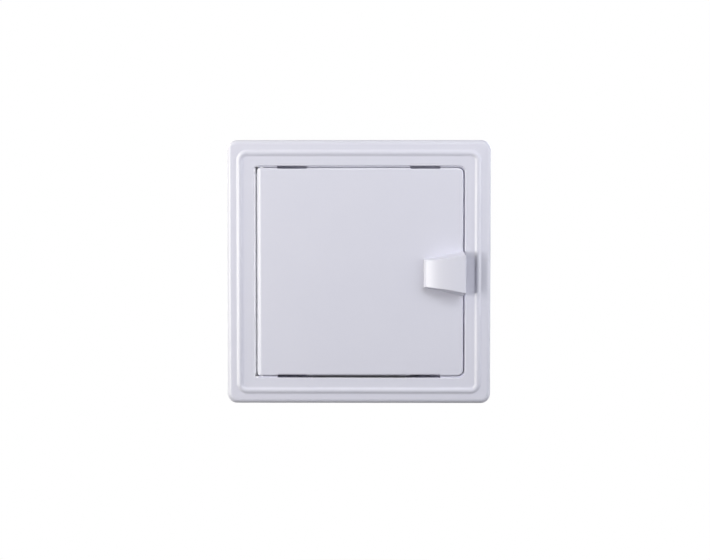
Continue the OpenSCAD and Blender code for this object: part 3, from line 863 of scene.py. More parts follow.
@dataclass
class FrameMoulding(Shared):
    """The flanged frame with its bead, rebate, ledge, collar, webs and pockets."""

    half: float = 109.0
    corner: float = 8.0
    plate_back: float = -2.6
    rim: float = 4.0
    rim_wall: float = 2.4
    bead_half: float = 98.25
    bead_corner: float = 6.0
    bead_width: float = 6.8
    bead_height: float = 1.3
    mouth: float = 87.6
    mouth_corner: float = 5.0
    mouth_round: float = 0.8
    ledge: float = 5.0
    ledge_back: float = 7.2
    passage: float = 83.0
    passage_corner: float = 2.5
    core: float = 89.8
    collar_inner: float = 95.8
    collar: float = 98.0
    collar_corner: float = 6.0
    depth: float = 25.0
    ease: float = 0.3
    fillet: float = 0.4
    rooted: float = 0.3
    foot: float = 0.15
    web_places: tuple[float, ...] = (-72.0, -48.0, -24.0, 0.0, 24.0, 48.0, 72.0)
    rim_web_back: float = -0.4
    rib_ease: float = 0.2
    pocket_backs: dict[int, float] = field(default_factory=lambda: {-1: 16.0, 1: 6.8})
    pocket_front: float = 5.12
    strut_back: float = 13.4
    hook_half: float = 6.15
    hook_depths: Flat = (8.0, 11.0)
    groove: Point = (39.3, -3.6, 1.3)
    socket: float = 4.6
    socket_bore: float = 1.65
    bore_depth: float = 6.4
    shelf_edge: float = 69.7
    shelf_half: float = 20.9
    shelf_corner: float = 3.0
    screw_place: float = 16.2
    window: Flat = (4.4, 11.6)
    window_depths: Flat = (3.0, 9.0)
    pad_front: float = 3.0
    pad_half: float = 5.0
    pad_edge: float = 84.1
    pad_place: float = 74.1
    side_pad: Flat = (84.4, 61.0)
    guide: Flat = (86.9, 86.6)
    guide_corner: float = 5.5
    guide_front: float = -3.4
    guide_ease: float = 0.25
    strip: Point = (-88.3, -84.95, -5.02)
    strip_root: float = -4.0
    strip_end: float = 86.0
    strip_ease: float = 0.15
    swing: float = 110.0

    def _bead(self) -> list[Flat]:
        """Lists the bead's profile: a round crest between hollow feet.

        Returns:
            Its points from outside to inside.
        """
        half, height = self.bead_width / 2, self.bead_height
        radius = (half * half + height * height) / (4 * height)
        slope = math.degrees(math.asin(half / 2 / radius))
        foot = arc((half, self.face - radius), radius, 90, 90 + slope, 7)
        crown = arc((0.0, self.face - height + radius), radius, slope - 90, -90, 7)
        right = foot + crown[1:]
        left = [(-x, y) for x, y in reversed(right[:-1])]
        return [(self.bead_half + x, y) for x, y in right + left]

    def _profile(self) -> list[Point]:
        """Lists the whole closed section.

        Returns:
            Its points, each with its corner radius.
        """
        face, back, ease, fillet = self.face, self.plate_back, self.ease, self.fillet
        groove = self.bead_width / 4

        def lay(points: Iterable[Flat], half: float, corner: float) -> list[Point]:
            """Gives points the corner radius of a line that lies beside a known one."""
            return [(x, y, corner + x - half) for x, y in points]

        rim = [(self.half - self.foot, 0.0), (self.half, -self.foot)]
        rim += arc((self.half - self.rim, face + self.rim), self.rim, 0, -90, 10)
        curve = self.mouth_round
        mouth = arc((self.mouth + curve, face + curve), curve, -90, -180, 6)
        mouth += arc((self.mouth - fillet, self.ledge - fillet), fillet, 0, 90, 3)
        passage = arc((self.passage + ease, self.ledge + ease), ease, -90, -180, 3)
        passage += arc((self.passage + ease, self.ledge_back - ease), ease, 180, 90, 3)
        core = arc((self.core - ease, self.ledge_back - ease), ease, 90, 0, 3)
        core += arc((self.core + fillet, back + fillet), fillet, 180, 270, 3)
        collar = arc((self.collar_inner - fillet, back + fillet), fillet, -90, 0, 3)
        collar += arc((self.collar_inner + ease, self.depth - ease), ease, 180, 90, 3)
        collar += arc((self.collar - ease, self.depth - ease), ease, 90, 0, 3)
        collar += [(self.collar, 0.0)]
        crest = back - self.bead_height / 3
        hollow = [(self.bead_half - groove, 0.0), (self.bead_half - groove, crest)]
        hollow += arc((self.bead_half, crest), groove / 2, 180, 360, 6)
        hollow += [(self.bead_half + groove, crest), (self.bead_half + groove, back)]
        inner = self.half - self.rim_wall
        wall = arc((inner - fillet, back + fillet), fillet, -90, 0, 3)
        wall += [(inner, -self.foot), (inner + self.foot, 0.0)]
        return (
            lay(rim, self.half, self.corner)
            + lay(self._bead(), self.bead_half, self.bead_corner)
            + lay(mouth, self.mouth, self.mouth_corner)
            + lay(passage, self.passage, self.passage_corner)
            + lay(core, self.mouth, self.mouth_corner)
            + lay(collar, self.collar, self.collar_corner)
            + lay(hollow, self.bead_half, self.bead_corner)
            + lay(wall, self.half, self.corner)
        )

    def _openings(self) -> Casting:
        """Gathers what is cut through the ring.

        Returns:
            The tools.
        """
        tools, past = Casting(), self.past
        for sx, sz in CORNERS:
            middle = sx * self.notch_place
            depths = (self.ledge - past, self.ledge_back + past)
            heights = span(sz, self.passage - past, self.mouth - self.skim)
            tools.slab(middle, self.notch_half, depths, heights, 0.0)
            heights = span(sz, self.collar_inner - past, self.collar + past)
            tools.slab(middle, self.hook_half, self.hook_depths, heights, 0.0)
        half, front, deep = self.groove
        heights = (-self.mouth - deep, past - self.mouth)
        tools.slab(0.0, half, (front, self.ledge - 2 * self.skim), heights, 0.0)
        self.bore(tools, self.socket_bore, self.mouth - past, self.core + past / 2, 48)
        return tools

    def _sockets(self) -> Casting:
        """Builds the blocks behind the flange that the hinge pins enter.

        Returns:
            The blocks with their bores.
        """
        blocks, bores = Casting(), Casting()
        x, y = self.axis
        depths = (self.plate_back - self.sink, y + self.socket)
        for sz in SIDES:
            heights = span(sz, self.mouth + self.rooted, self.collar_inner + self.sink)
            blocks.slab(x, self.socket, depths, heights, self.ease)
        self.bore(bores, self.socket_bore, self.mouth - self.past, self.mouth + self.bore_depth, 48)
        blocks.cut(bores)
        return blocks

    def _shelf(self) -> Casting:
        """Builds the shelf that carries the catch.

        Returns:
            The shelf with its window and screw holes.
        """
        shelf, tools = Casting(), Casting()
        r, root = self.shelf_corner, self.passage + 0.25
        outline = [(root, -self.shelf_half), (root, self.shelf_half)]
        outline += arc((self.shelf_edge + r, self.shelf_half - r), r, 90, 180, 6)
        outline += arc((self.shelf_edge + r, r - self.shelf_half), r, 180, 270, 6)
        shelf.run(outline, 1, self.ledge + self.skim, self.ledge_back - self.skim, self.ease)
        x, z = self.window
        tools.slab(self.catch_x, x, self.window_depths, (-z, z), 0.0)
        for sz in SIDES:
            place = stood(self.catch_x, self.window_depths[0], sz * self.screw_place, -90)
            tools.rod(self.pilot, (0, 6), place, 32)
        shelf.cut(tools)
        return shelf

    def _fittings(self, made: Casting) -> None:
        """Adds pockets, struts, stop pads, guides and the hinge strip.

        Args:
            made: The frame so far.
        """
        depths, wall, ease = (self.pad_front, self.ledge + self.rooted), self.mouth + self.sink, self.ease
        for sx, sz in CORNERS:
            self._pocket(made, sx * self.notch_place, sz)
            if sx > 0:
                heights = span(sz, self.pad_edge, wall)
                made.slab(self.pad_place, self.pad_half, depths, heights, ease)
                x, z = self.side_pad[0], sz * self.side_pad[1]
                low = (x, depths[0], z - self.pad_half)
                made.block(low, (wall, depths[1], z + self.pad_half), ease)
            for end in SIDES:
                x = sx * self.notch_place + end * (self.notch_half + self.rib / 2)
                heights = span(sz, self.core - self.rooted, self.collar_inner + self.rooted)
                back = (self.plate_back - self.sink, self.strut_back)
                made.slab(x, self.rib / 2, back, heights, self.rib_ease)
        self._guides(made, depths[1])
        left, right, front = self.strip
        root, back = self.strip_root, depths[1]
        lean = math.tan(math.radians(self.swing - 90)) * (self.axis[1] - front)
        floor = arc(self.axis, self.axis[0] - right, 180, 140, 6)
        outline = [(-wall, root), (left, root), (left, front), (right - lean, front), *floor]
        outline += [(floor[-1][0], back), (-wall, back)]
        made.run(outline, 2, -self.strip_end, self.strip_end, self.strip_ease)

    def _pocket(self, made: Casting, middle: float, sz: int) -> None:
        """Adds one blind pocket behind a notch of the door.

        Args:
            made: The frame so far.
            middle: The middle of the notch.
            sz: 1 at the top, -1 at the bottom.
        """
        wall, back, front = self.rib, self.pocket_backs[sz], self.pocket_front

        def loop(half: float, near: float, far: float, y: float) -> list[Point]:
            """Lists the corners of a rectangle of the pocket at a depth."""
            ends = ((-half, near), (half, near), (half, far), (-half, far))
            return [(middle + x, y, sz * z) for x, z in ends[::sz]]

        outer = (self.notch_half + wall, self.passage - wall, self.core - 0.1)
        inner = (self.notch_half, self.passage, self.mouth)
        last = (outer[0] - self.ease, outer[1] + self.ease, outer[2] - self.ease)
        made.skin(
            [
                loop(*inner, back),
                loop(*inner, front),
                loop(*outer, front),
                loop(*outer, back + wall - self.ease),
                loop(*last, back + wall),
            ]
        )

    def _guides(self, made: Casting, back: float) -> None:
        """Adds the narrow step round the door, open beside the hinge and at the notches.

        Args:
            made: The frame so far.
            back: The depth where the step ends.
        """
        x, z = self.guide
        start, wall = self.notch_place + self.notch_half, self.mouth + 0.1
        centre, radius = self.mouth - self.mouth_corner, self.mouth_corner + 0.1
        bend, front = self.guide_corner, self.guide_front
        inner = [(start, z)] + arc((x - bend, z - bend), bend, 90, 0, 10)
        outer = [(start, wall)] + arc((centre, centre), radius, 90, 0, 10)
        right = inner + [(a, -b) for a, b in inner[::-1]] + [(a, -b) for a, b in outer] + outer[::-1]
        made.run(right, 1, front, back, self.guide_ease)
        low = math.degrees(math.asin((z - centre) / radius))
        left = [(start, z)] + arc((centre, centre), radius, low, 90, 6) + [(start, wall)]
        for side in SIDES:
            made.run([(-a, side * b) for a, b in left], 1, front, back, self.guide_ease)
        made.slab(0.0, self.notch_place - self.notch_half, (front, back), (z, wall))

    def build(self, sweep: RoundedSquareSweep, rows: Rows, finishes: Finishes) -> None:
        """Builds the frame.

        Args:
            sweep: The recipe of the swept ring.
            rows: The recipe of the webs.
            finishes: The finishes.
        """
        made, white = Casting(), finishes.white
        made.absorb(sweep.sweep(self._profile(), white, 14))
        made.cut(self._openings())
        made.absorb(self._sockets().mesh)
        made.absorb(self._shelf().mesh)
        self._fittings(made)
        sink, inner = self.sink, self.half - self.rim_wall
        for low, high, back in (
            (self.core, self.collar_inner, self.ledge_back),
            (self.collar, inner, self.rim_web_back),
        ):
            web = Casting()
            depths, heights = (self.plate_back - sink, back), (low - sink, high + sink)
            web.slab(0.0, self.rib / 2, depths, heights, self.rib_ease)
            made.absorb(rows.repeat(web.plain(), white, self.web_places, ALONG_X, 4))
        made.piece("frame_moulding", white, Body.FRAME, "white_plastic", ["frame"])


@dataclass
class DoorPanel(Shared):
    """The flush door with its rolled hinge edge, skirt, ribs and notches."""

    roll: float = 4.4
    right: float = 86.4
    top: float = 86.1
    skin_back: float = -2.8
    back: float = 3.0
    edge: float = 1.6
    corner: float = 5.0
    hinge_corner: float = 2.5
    skirt: float = 2.0
    levels: tuple[float, ...] = (-2.9, -2.3, -1.7, -1.1, -0.6, 0.0, 0.6, 1.2, 1.8, 2.3, 2.7)
    lip: tuple[Flat, ...] = ((0.08, 2.92), (0.28, 3.0))
    inside: tuple[Flat, ...] = (
        (-0.28, 3.0),
        (-0.08, 2.92),
        (0.0, 2.7),
        (0.0, -2.4),
        (0.12, -2.68),
        (0.4, -2.8),
    )
    notch_depth: float = 0.7
    trim: float = 0.5
    rib_back: float = 1.5
    rib_step: float = 0.03
    rib_places: tuple[float, ...] = (-65.0, -39.0, -13.0, 13.0, 39.0, 65.0)
    middle: float = 1.0
    upright_end: float = 84.6
    level_ends: Flat = (-75.4, 84.9)
    backing: Flat = (83.4, 84.4)
    backing_half: float = 14.5
    boss: Flat = (3.0, 11.0)
    boss_corner: float = 1.5
    boss_back: float = 3.08
    tube: Flat = (2.8, 4.4)
    channel: float = 2.3
    channel_end: float = 72.1
    pin_bore: float = 1.62

    def _outline(self, left: float, inset: float, left_corner: float, notch: float, y: float) -> list[Point]:
        """Lists one outline of the door.

        Args:
            left: The place of its left side.
            inset: How far the other sides lie inside the full outline.
            left_corner: The radius of the corners at the hinge side.
            notch: The depth of the notches.
            y: The depth of the outline.

        Returns:
            Its points, the same number for each outline.
        """
        top, right, r = self.top - inset, self.right - inset, self.corner - inset
        wide, narrow = self.notch_half, self.notch_half - self.notch_depth
        spot = self.notch_place

        def half(between: float) -> list[Flat]:
            """Lists the upper half.

            Args:
                between: The height of the edge between the notches.

            Returns:
                Its points from right to left.
            """
            flat = arc((right - r, top - r), r, 0, 90, 8)
            for place, start, end in ((spot, top, between), (-spot, between, top)):
                flat += [(place + wide, start), (place + narrow, top - notch)]
                flat += [(place - narrow, top - notch), (place - wide, end)]
            return flat + arc((left + left_corner, top - left_corner), left_corner, 90, 180, 8)

        lower = half(top - self.trim if notch else top)
        return [(x, y, z) for x, z in half(top)] + [(x, y, -z) for x, z in reversed(lower)]

    def _outer(self, y: float, inset: float, shift: float = 0.0) -> list[Point]:
        """Lists the outline of the outside.

        Args:
            y: Its depth.
            inset: How far it lies inside.
            shift: How far its left side moves in.

        Returns:
            Its points.
        """
        left = self._rolled(y)
        corner = max(0.6, self.hinge_corner - (left - (self.axis[0] - self.roll)))
        return self._outline(left + shift, inset, corner, self.notch_depth, y)

    def _rolled(self, y: float) -> float:
        """Gives the left side of the rolled edge at a depth."""
        return self.axis[0] - math.sqrt(max(0.0, self.roll**2 - (y - self.axis[1]) ** 2))

    def _shell(self) -> Casting:
        """Builds the skin and its skirt.

        Returns:
            The shell.
        """
        loops = []
        depths = [self.face + self.edge * (1 - math.cos(math.radians(a))) for a in range(0, 91, 9)]
        for y in (*depths, *self.levels):
            drop = min(y - self.face, self.edge)
            inset = self.edge - math.sqrt(max(0.0, self.edge**2 - (self.edge - drop) ** 2))
            loops.append(self._outer(y, inset))
        for inset, y in self.lip:
            loops.append(self._outer(y, inset, inset))
        left, thick = self.axis[0] + self.roll, self.skirt
        for inset, y in self.inside:
            loops.append(self._outline(left + inset, thick + inset, self.corner - thick - inset, 0.0, y))
        shell = Casting()
        shell.skin(loops)
        return shell

    def _tools(self) -> Casting:
        """Gathers what is cut out of the shell: the pin channel and the screw holes.

        Returns:
            The tools.
        """
        x, y = self.axis
        back, right = 6.0, x + self.roll + 0.4
        tools = Casting()
        outline = [(x - self.channel, back)] + arc((x, y), self.channel, 180, 360, 12)
        outline += [(x + self.channel, y - 0.001), (right, y - 0.001), (right, back)]
        tools.run(outline, 2, -self.channel_end, self.channel_end)
        self.bore(tools, self.pin_bore, self.channel_end - self.past / 2, self.top + self.past, 40)
        for z in self.screw_places:
            tools.rod(self.pilot, (0, 5), stood(self.screw_x, self.face - self.past, z, -90), 32)
        return tools

    def build(self, rows: Rows, finishes: Finishes) -> None:
        """Builds the door.

        Args:
            rows: The recipe of the ribs.
            finishes: The finishes.
        """
        made, white = self._shell(), finishes.white
        bmesh.ops.recalc_face_normals(made.mesh, faces=made.mesh.faces)
        made.cut(self._tools())
        half, front, back, step = self.rib / 2, self.skin_back - self.sink, self.rib_back, self.rib_step
        upright, level = Casting(), Casting()
        upright.slab(self.middle, half, (front, back), (-self.upright_end, self.upright_end))
        level.block((self.level_ends[0], front, -half), (self.level_ends[1], back - step, half))
        made.absorb(rows.repeat(upright.plain(), white, self.rib_places, ALONG_X))
        made.absorb(rows.repeat(level.plain(), white, self.rib_places, ALONG_Z))
        for sx, sz in CORNERS:
            heights = span(sz, *self.backing)
            made.slab(sx * self.notch_place, self.backing_half, (front, self.back - 0.05), heights)
        wide, high = self.boss
        outline = []
        for start, sx, sz in ((0, 1, 1), (90, -1, 1), (180, -1, -1), (270, 1, -1)):
            corner = (self.catch_x + sx * wide, sz * high)
            outline += arc(corner, self.boss_corner, start, start + 90, 4)
        made.run(outline, 1, front, self.boss_back, 0.15)
        rim = back + step
        bore, wide = self.tube
        tube = [(bore, front), (wide, front), (wide, rim - 0.25), (wide - 0.08, rim - 0.07)]
        tube += [(wide - 0.25, rim), (bore + 0.15, rim), (bore, rim - 0.15)]
        for z in self.screw_places:
            made.turned(tube, stood(self.screw_x, 0.0, z, -90))
        made.piece("door_panel", white, Body.DOOR, "white_plastic", ["door"])


@dataclass
class FingerPull(Shared):
    """The hollow wedge that a fingertip pulls from the handle side."""

    start: float = 53.5
    end: float = 86.4
    tip: float = 88.0
    drop: float = 1.2
    height: float = 13.0
    nose_height: float = 4.2
    nose_run: float = 1.6
    narrow: float = 23.4
    wide: float = 37.3
    draft: float = 14.0
    wall: float = 2.0
    edge: float = 0.55
    post: Point = (3.25, 14.0, 4.6)
    post_bore: float = 1.47

    def _solid(self, inset: float) -> Casting:
        """Builds the closed wedge, smaller all round by an inset.

        Args:
            inset: How far each wall moves in.

        Returns:
            The wedge. With an inset it runs out past the wide end and the foot.
        """
        rise, run = self.height - self.nose_height, self.tip - self.start - self.nose_run
        radius = (run * run + rise * rise) / (2 * rise)
        centre = (self.tip, self.height - radius)
        slope = self.nose_run / self.nose_height
        shift = inset * math.sqrt(1 + slope * slope)
        lean = (self.tip - self.end) / self.height

        def left(h: float) -> float:
            """Gives the place of the steep face at a height."""
            return self.start + shift + slope * h

        def right(h: float) -> float:
            """Gives the place of the open wide end at a height."""
            return self.end + lean * h + 2.5 * inset

        crown = arc(centre, radius - inset, 120, 84, 36)
        top = [(x, h) for x, h in crown if left(h) < x < right(h)]
        first, last = (self._meet(centre, radius - inset, line) for line in (left, right))
        outline = [(left(-inset), -inset), first, *top, last, (right(-inset), -inset)]
        tan_side = (self.wide - self.narrow) / 2 / (self.end - self.start)
        cos_side = math.cos(math.atan(tan_side))
        tan_draft = math.tan(math.radians(self.draft))
        cut_in = inset / math.cos(math.radians(self.draft))

        def half(x: float, h: float) -> float:
            """Gives the half width at a place along and above the door."""
            return self.narrow / 2 + (x - self.start) * tan_side - (h * tan_draft + cut_in) / cos_side

        made = Casting()
        made.skin(
            [[(x, self.face - h, side * half(x, h) - self.drop) for x, h in outline] for side in SIDES]
        )
        bmesh.ops.recalc_face_normals(made.mesh, faces=made.mesh.faces)
        return made

    @staticmethod
    def _meet(centre: Flat, radius: float, line: Callable[[float], float]) -> Flat:
        """Finds where a leaning line meets the upper part of a circle.

        Args:
            centre: The middle of the circle.
            radius: Its radius.
            line: Gives the line's place at a height.

        Returns:
            The meeting point.
        """
        low, high = 0.0, centre[1] + radius
        for _ in range(60):
            h = (low + high) / 2
            inside = math.hypot(line(h) - centre[0], h - centre[1]) < radius
            low, high = (h, high) if inside else (low, h)
        return line(low), low

    def build(self, finishes: Finishes) -> None:
        """Builds the pull and its screw posts.

        Args:
            finishes: The finishes.
        """
        made, white = self._solid(0.0), finishes.white
        made.cut(self._solid(self.wall))
        made.piece("finger_pull", white, Body.DOOR, "white_plastic", ["pull_handle"], self.edge, 25.0)
        posts, foot, inner = Casting(), 0.05, self.post_bore
        outer, top, blind = self.post
        outline = [(inner, foot), (outer, foot), (outer, top), (0.0, top), (0.0, blind), (inner, blind)]
        for z in self.screw_places:
            posts.turned(outline, stood(self.screw_x, self.face, z, 90))
        posts.cut(self._solid(self.wall / 2), Cut.KEEP)
        posts.piece("pull_posts", white, Body.DOOR, "white_plastic", [])


@dataclass(frozen=True)
class ScrewSet:
    """Two like screws: their name, seats, turn from Z, length, head and body."""

    name: str
    seats: tuple[Point, ...]
    turn: float
    length: float
    countersunk: bool
    body: Body


@dataclass
class Fixings(Shared):
    """Screws and pins."""

    screw: float = 2.9
    head: float = 5.4
    head_height: float = 1.5
    recess: Point = (3.0, 0.7, 0.8)
    pitch: float = 0.9
    core: float = 1.12
    tooth: float = 0.32
    pin: Point = (70.5, 72.1, 93.6)
    pin_radii: Point = (2.2, 1.6, 0.7)
    shelf_seat: Flat = (5.0, 16.2)
    skin_seat: float = -2.8
    plate_seat: Flat = (4.3, 8.6)
    lengths: Point = (7.0, 6.4, 5.0)

    def _sets(self) -> tuple[ScrewSet, ...]:
        """Lists the screws.

        Returns:
            Their sets.
        """
        (shelf, high), (plate, near) = self.shelf_seat, self.plate_seat
        first, second, third = self.lengths
        on_shelf = tuple((self.catch_x, shelf, side * high) for side in (1, -1))
        on_plate = tuple((self.catch_x, plate, side * near) for side in (1, -1))
        on_skin = tuple((self.screw_x, self.skin_seat, z) for z in self.screw_places)
        return (
            ScrewSet("catch_screw", on_shelf, -QUARTER, first, False, Body.FRAME),
            ScrewSet("handle_screw", on_skin, QUARTER, second, False, Body.DOOR),
            ScrewSet("strike_screw", on_plate, QUARTER, third, True, Body.DOOR),
        )

    def _head(self, countersunk: bool, length: float) -> Mesh:
        """Builds a head below z = 0 with its plain core above.

        Args:
            countersunk: Whether the head is countersunk.
            length: The length of the core.

        Returns:
            The mesh.
        """
        r, core, shank = self.head / 2, self.core, self.screw / 2
        if countersunk:
            sink = (self.head - self.screw) / 2
            outline = [(0.0, 0.0), (r - 0.05, 0.0), (r, 0.08), (shank, sink), (core, sink + 0.3)]
            level = 0.0
        else:
            dome = self.head_height * 2 / 3
            radius = (r * r + dome * dome) / (2 * dome)
            spread = math.degrees(math.asin(r / radius))
            outline = arc((0.0, radius - self.head_height), radius, -90, spread - 90, 8)
            outline += [(r, -0.12), (r - 0.12, 0.0), (shank, 0.0), (shank, 0.5), (core, 0.8)]
            level = -self.head_height
        outline += [(core, length - core), (core * 0.45, length - core * 0.35), (0.0, length)]
        made, tools = Casting(), Casting()
        made.turned(outline, Matrix.Identity(4), 36)
        long, wide, deep = self.recess
        for a, b in ((long / 2, wide / 2), (wide / 2, long / 2)):
            tools.slab(0.0, a, (-1.0, deep), (-b, b), 0.0)
        place = stood(0.0, 0.0, level, 90)
        bmesh.ops.transform(tools.mesh, matrix=place, verts=tools.mesh.verts)
        made.cut(tools)
        return made.plain()

    def build(self, recipe: ThreadedScrews, finishes: Finishes) -> None:
        """Makes the screws and the two hinge pins.

        Args:
            recipe: The recipe of the screws.
            finishes: The finishes.
        """
        shape = {"Core radius": self.core, "Tooth": self.tooth, "Pitch": self.pitch}
        for row in self._sets():
            start = (self.head - self.screw) / 2 + 0.5 if row.countersunk else 1.1
            thread = {"Thread start": start, "Thread length": row.length - start - self.core}
            look = {"Turn": (row.turn, 0.0, 0.0), "Finish": finishes.bright}
            head = {"Head": self._head(row.countersunk, row.length)}
            made = Casting()
            made.absorb(recipe.grow({**head, **shape, **thread, **look}, row.seats))
            nodes = [f"{row.name}_upper", f"{row.name}_lower"]
            made.piece(f"{row.name}s", finishes.bright, row.body, "screw_steel", nodes, 0.0, 30.0)
        (top, root, end), (wide, body, tip) = self.pin, self.pin_radii
        outline = [(0.0, top), (wide - 0.2, top), (wide - 0.06, top + 0.06), (wide, top + 0.2)]
        outline += [(wide, root - 0.2), (wide - 0.06, root - 0.06), (wide - 0.2, root), (body, root)]
        outline += [(body, end - 0.8), (tip + 0.15, end - 0.1), (tip, end), (0.0, end)]
        made = Casting()
        for sz in SIDES:
            made.turned([(r, sz * z) for r, z in outline], stood(*self.axis, 0.0), 48)
        nodes = ["hinge_pin_upper", "hinge_pin_lower"]
        made.piece("hinge_pins", finishes.zinc, Body.DOOR, "plated_steel", nodes, 0.0, 32.0)


@dataclass
class WallClips(Shared):
    """The four spring strips that hold the collar in the wall."""

    width: float = 12.0
    thick: float = 0.6
    bend: float = 0.9
    path: tuple[Flat, ...] = (
        (9.5, 97.4),
        (10.25, 95.35),
        (25.45, 95.35),
        (25.45, 98.45),
        (14.0, 101.4),
        (6.5, 99.05),
        (4.5, 100.25),
    )

    def _line(self) -> list[tuple[Vector, Vector]]:
        """Lists the middle line of the strip, with rounded bends.

        Returns:
            Its points, each with its normal.
        """
        knots = [Vector(p) for p in self.path]
        middle: list[Vector] = [knots[0]]
        for before, knot, after in zip(knots, knots[1:], knots[2:]):
            there, onward = (before - knot), (after - knot)
            reach = min(self.bend, there.length * 0.45, onward.length * 0.45)
            first, last = knot + there.normalized() * reach, knot + onward.normalized() * reach
            for i in range(7):
                t = i / 6
                middle.append(first * (1 - t) ** 2 + knot * 2 * t * (1 - t) + last * t * t)
        middle.append(knots[-1])
        line = []
        for i, point in enumerate(middle):
            along = middle[min(i + 1, len(middle) - 1)] - middle[max(i - 1, 0)]
            along.normalize()
            line.append((point, Vector((-along.y, along.x))))
        return line

    def build(self, rows: Rows, finish: Material) -> None:
        """Builds the clips.

        Args:
            rows: The recipe that repeats them.
            finish: The material.
        """
        half, line = self.thick / 2, self._line()
        outline = [point + normal * half for point, normal in line]
        outline += [point - normal * half for point, normal in reversed(line)]
        strip, made = Casting(), Casting()
        strip.run([(p.x, p.y) for p in outline], 0, -self.width / 2, self.width / 2, 0.1)
        places = (-self.notch_place, self.notch_place)
        made.absorb(rows.repeat(strip.plain(), finish, places, ALONG_X, 2))
        nodes = [f"wall_clip_{end}_{side}" for end in ("top", "bottom") for side in ("left", "right")]
        made.piece("wall_clips", finish, Body.FRAME, "spring_steel", nodes, 0.0, 30.0)


@dataclass
class MagnetCatch:
    """The magnet between its pole plates, its housing and the strike plate."""

    merge: float = 0.002
    flat: float = 0.5
    sharp: float = 40.0
    steps: int = 2

    def _eased_copy(self, node: str, ease: float) -> Casting:
        """Copies a node of the model, merges its loose triangles and rounds its edges.

        Args:
            node: The node.
            ease: The radius of its edges.

        Returns:
            The copy.
        """
        made = Casting()
        mesh = made.mesh
        mesh.from_mesh(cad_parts[node].data)
        bmesh.ops.transform(mesh, matrix=Matrix.Scale(1 / MM, 4), verts=mesh.verts)
        bmesh.ops.remove_doubles(mesh, verts=mesh.verts, dist=self.merge)
        flat = math.radians(self.flat)
        bmesh.ops.dissolve_limit(mesh, angle_limit=flat, verts=mesh.verts, edges=mesh.edges)
        rounded(mesh, ease, self.steps, self.sharp)
        return made

    def build(self, finishes: Finishes) -> None:
        """Builds the catch from eased copies of the model's nodes.

        Args:
            finishes: The finishes.
        """
        zinc = finishes.zinc
        for node, ease, finish, body, slot in (
            ("catch_housing", 0.25, finishes.catch, Body.FRAME, "catch_plastic"),
            ("catch_magnet", 0.30, finishes.ferrite, Body.FRAME, "magnet"),
            ("pole_plate_inner", 0.15, zinc, Body.FRAME, "plated_steel"),
            ("pole_plate_outer", 0.15, zinc, Body.FRAME, "plated_steel"),
            ("strike_plate", 0.12, zinc, Body.DOOR, "plated_steel"),
        ):
            self._eased_copy(node, ease).piece("eased_" + node, finish, body, slot, [node])


# Studio


def hung(data: Any, azimuth: float, elevation: float, distance: float, aim: Point) -> Object:
    """Places a lamp or a camera so that it looks at a point.

    Args:
        data: The lamp or the camera.
        azimuth: Degrees to the right of the panel's front.
        elevation: Degrees above its middle.
        distance: The distance from the point in metres.
        aim: The point.

    Returns:
        The placed object.
    """
    turn, rise = math.radians(azimuth), math.radians(elevation)
    level = math.cos(rise)
    back = Vector((level * math.sin(turn), -level * math.cos(turn), math.sin(rise)))
    made = linked(data.name, data)
    made.location = Vector(aim) + back * distance
    made.rotation_mode = "QUATERNION"
    made.rotation_quaternion = (-back).to_track_quat("-Z", "Y")
    return made


@dataclass(frozen=True)
class Softbox:
    """A square lamp that points at the panel from a direction seen from its front."""

    name: str
    azimuth: float
    elevation: float
    distance: float
    size: float
    power: float
    colour: Colour

    def hang(self, aim: Point) -> None:
        """Hangs the lamp.

        Args:
            aim: The point that it lights.
        """
        data = bpy.data.lights.new(self.name, "AREA")
        data.shape, data.size = "SQUARE", self.size
        data.energy, data.color = self.power, self.colour
        hung(data, self.azimuth, self.elevation, self.distance, aim).visible_camera = False


WHITE = (1.0, 1.0, 1.0, 1.0)
PLAIN: Colour = (1.0, 1.0, 0.98)
WARM: Colour = (1.03, 1.0, 0.80)
COOL: Colour = (0.92, 1.0, 1.11)


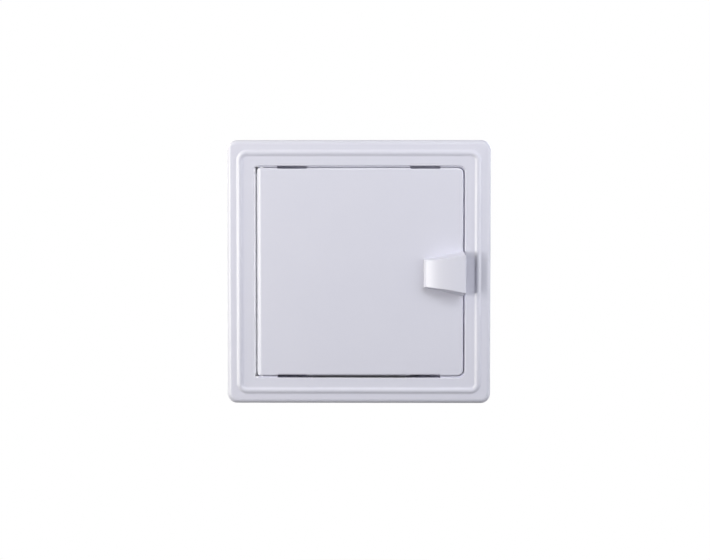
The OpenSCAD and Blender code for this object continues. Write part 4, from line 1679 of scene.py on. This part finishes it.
@dataclass
class Studio:
    """Camera, lamps, floor and background, in metres."""

    lens: float = 85.0
    sensor: float = 36.0
    distance: float = 1.385
    elevation: float = 2.6
    azimuth: float = 0.6
    width: int = 710
    offset: Flat = (3.8, -7.9)
    aim: Point = (0.0, -0.005, 0.0)
    lit: Point = (0.04, -0.01, 0.0)
    surround: float = 0.10
    floor_level: float = -0.30
    floor_half: float = 4.0
    floor_fade: float = 0.14
    softboxes: tuple[Softbox, ...] = (
        Softbox("left", -54.5, -8.0, 1.8, 0.5, 19.3, PLAIN),
        Softbox("left_hard", -54.5, 12.0, 0.9, 0.12, 1.6, PLAIN),
        Softbox("left_low", -70.0, 0.0, 1.2, 0.3, 1.4, WARM),
        Softbox("left_side", -80.0, 32.0, 0.9, 0.4, 2.8, WARM),
        Softbox("right", 49.0, 24.0, 1.6, 0.9, 7.1, COOL),
        Softbox("right_low", 65.0, 5.0, 1.2, 0.3, 2.9, PLAIN),
        Softbox("right_side", 80.0, 10.0, 1.2, 0.4, 1.3, WARM),
        Softbox("above", 30.0, 40.0, 0.8, 0.35, 1.8, PLAIN),
        Softbox("back_left", 140.0, 20.0, 1.6, 0.8, 8.0, COOL),
        Softbox("back_right", -140.0, 20.0, 1.6, 0.8, 8.0, WARM),
    )

    def _camera(self) -> None:
        """Places the camera so that the panel falls where the photograph has it."""
        data = bpy.data.cameras.new("camera")
        data.lens, data.sensor_width = self.lens, self.sensor
        data.shift_x, data.shift_y = -self.offset[0] / self.width, self.offset[1] / self.width
        bpy.context.scene.camera = hung(data, self.azimuth, self.elevation, self.distance, self.aim)

    def _world(self) -> None:
        """Lights evenly from all round and shows as plain white."""
        world = bpy.data.worlds.new("studio")
        bpy.context.scene.world = world
        world.use_nodes = True
        tree = Tree(world.node_tree)
        tree.tree.nodes.clear()
        seen = tree.seen_by("Camera", "Glossy", "Transmission")
        plain, white = (
            tree.node("ShaderNodeBackground", None, {"Color": WHITE, "Strength": strength})
            for strength in (self.surround, 1.0)
        )
        tree.node("ShaderNodeOutputWorld", None, {"Surface": tree.mixed(seen, plain, white)})

    def _floor(self) -> None:
        """Lays a plain pale floor well below the panel, which fades to white farther out."""
        shader = Shader("pale floor")
        values = {0: shader.place(), 1: (1.0, 1.0, 0.0)}
        flat = shader.node("ShaderNodeVectorMath", {"operation": "MULTIPLY"}, values)
        reach = shader.node("ShaderNodeVectorMath", {"operation": "LENGTH"}, {0: flat}, "Value")
        far = ((reach - self.floor_fade) / self.floor_fade).clamped()
        tone = shader.blend(shader.noise(60.0), (0.93, 0.93, 0.94), (0.95, 0.95, 0.96))
        plain = shader.node("ShaderNodeBsdfDiffuse", None, {"Color": tone})
        dim = shader.node("ShaderNodeBsdfDiffuse", None, {"Color": (0.12, 0.12, 0.12, 1.0)})
        glow = shader.node("ShaderNodeEmission", None, {"Color": WHITE, "Strength": 1.0})
        shown = shader.mixed(far, plain, glow)
        mixed = shader.mixed(shader.seen_by("Camera", "Glossy"), dim, shown)
        shader.node("ShaderNodeOutputMaterial", None, {"Surface": mixed})
        mesh = bpy.data.meshes.new("floor")
        half, level = self.floor_half, self.floor_level
        corners = [(-half, -half, level), (half, -half, level), (half, half, level), (-half, half, level)]
        mesh.from_pydata(corners, [], [(0, 1, 2, 3)])
        mesh.materials.append(shader.material)
        linked("floor", mesh)

    def build(self) -> None:
        """Sets up the studio."""
        self._camera()
        for softbox in self.softboxes:
            softbox.hang(self.lit)
        self._world()
        self._floor()
        bpy.context.scene.view_settings.view_transform = "Standard"


def main() -> None:
    """Builds the panel piece by piece, then lights it."""
    logging.basicConfig(level=logging.INFO, format="%(message)s")
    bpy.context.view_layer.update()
    finishes = Finishes()
    rows = Rows()
    FrameMoulding().build(RoundedSquareSweep(), rows, finishes)
    DoorPanel().build(rows, finishes)
    FingerPull().build(finishes)
    WallClips().build(rows, finishes.spring)
    MagnetCatch().build(finishes)
    Fixings().build(ThreadedScrews(), finishes)
    Studio().build()


if __name__ == "__main__":
    main()
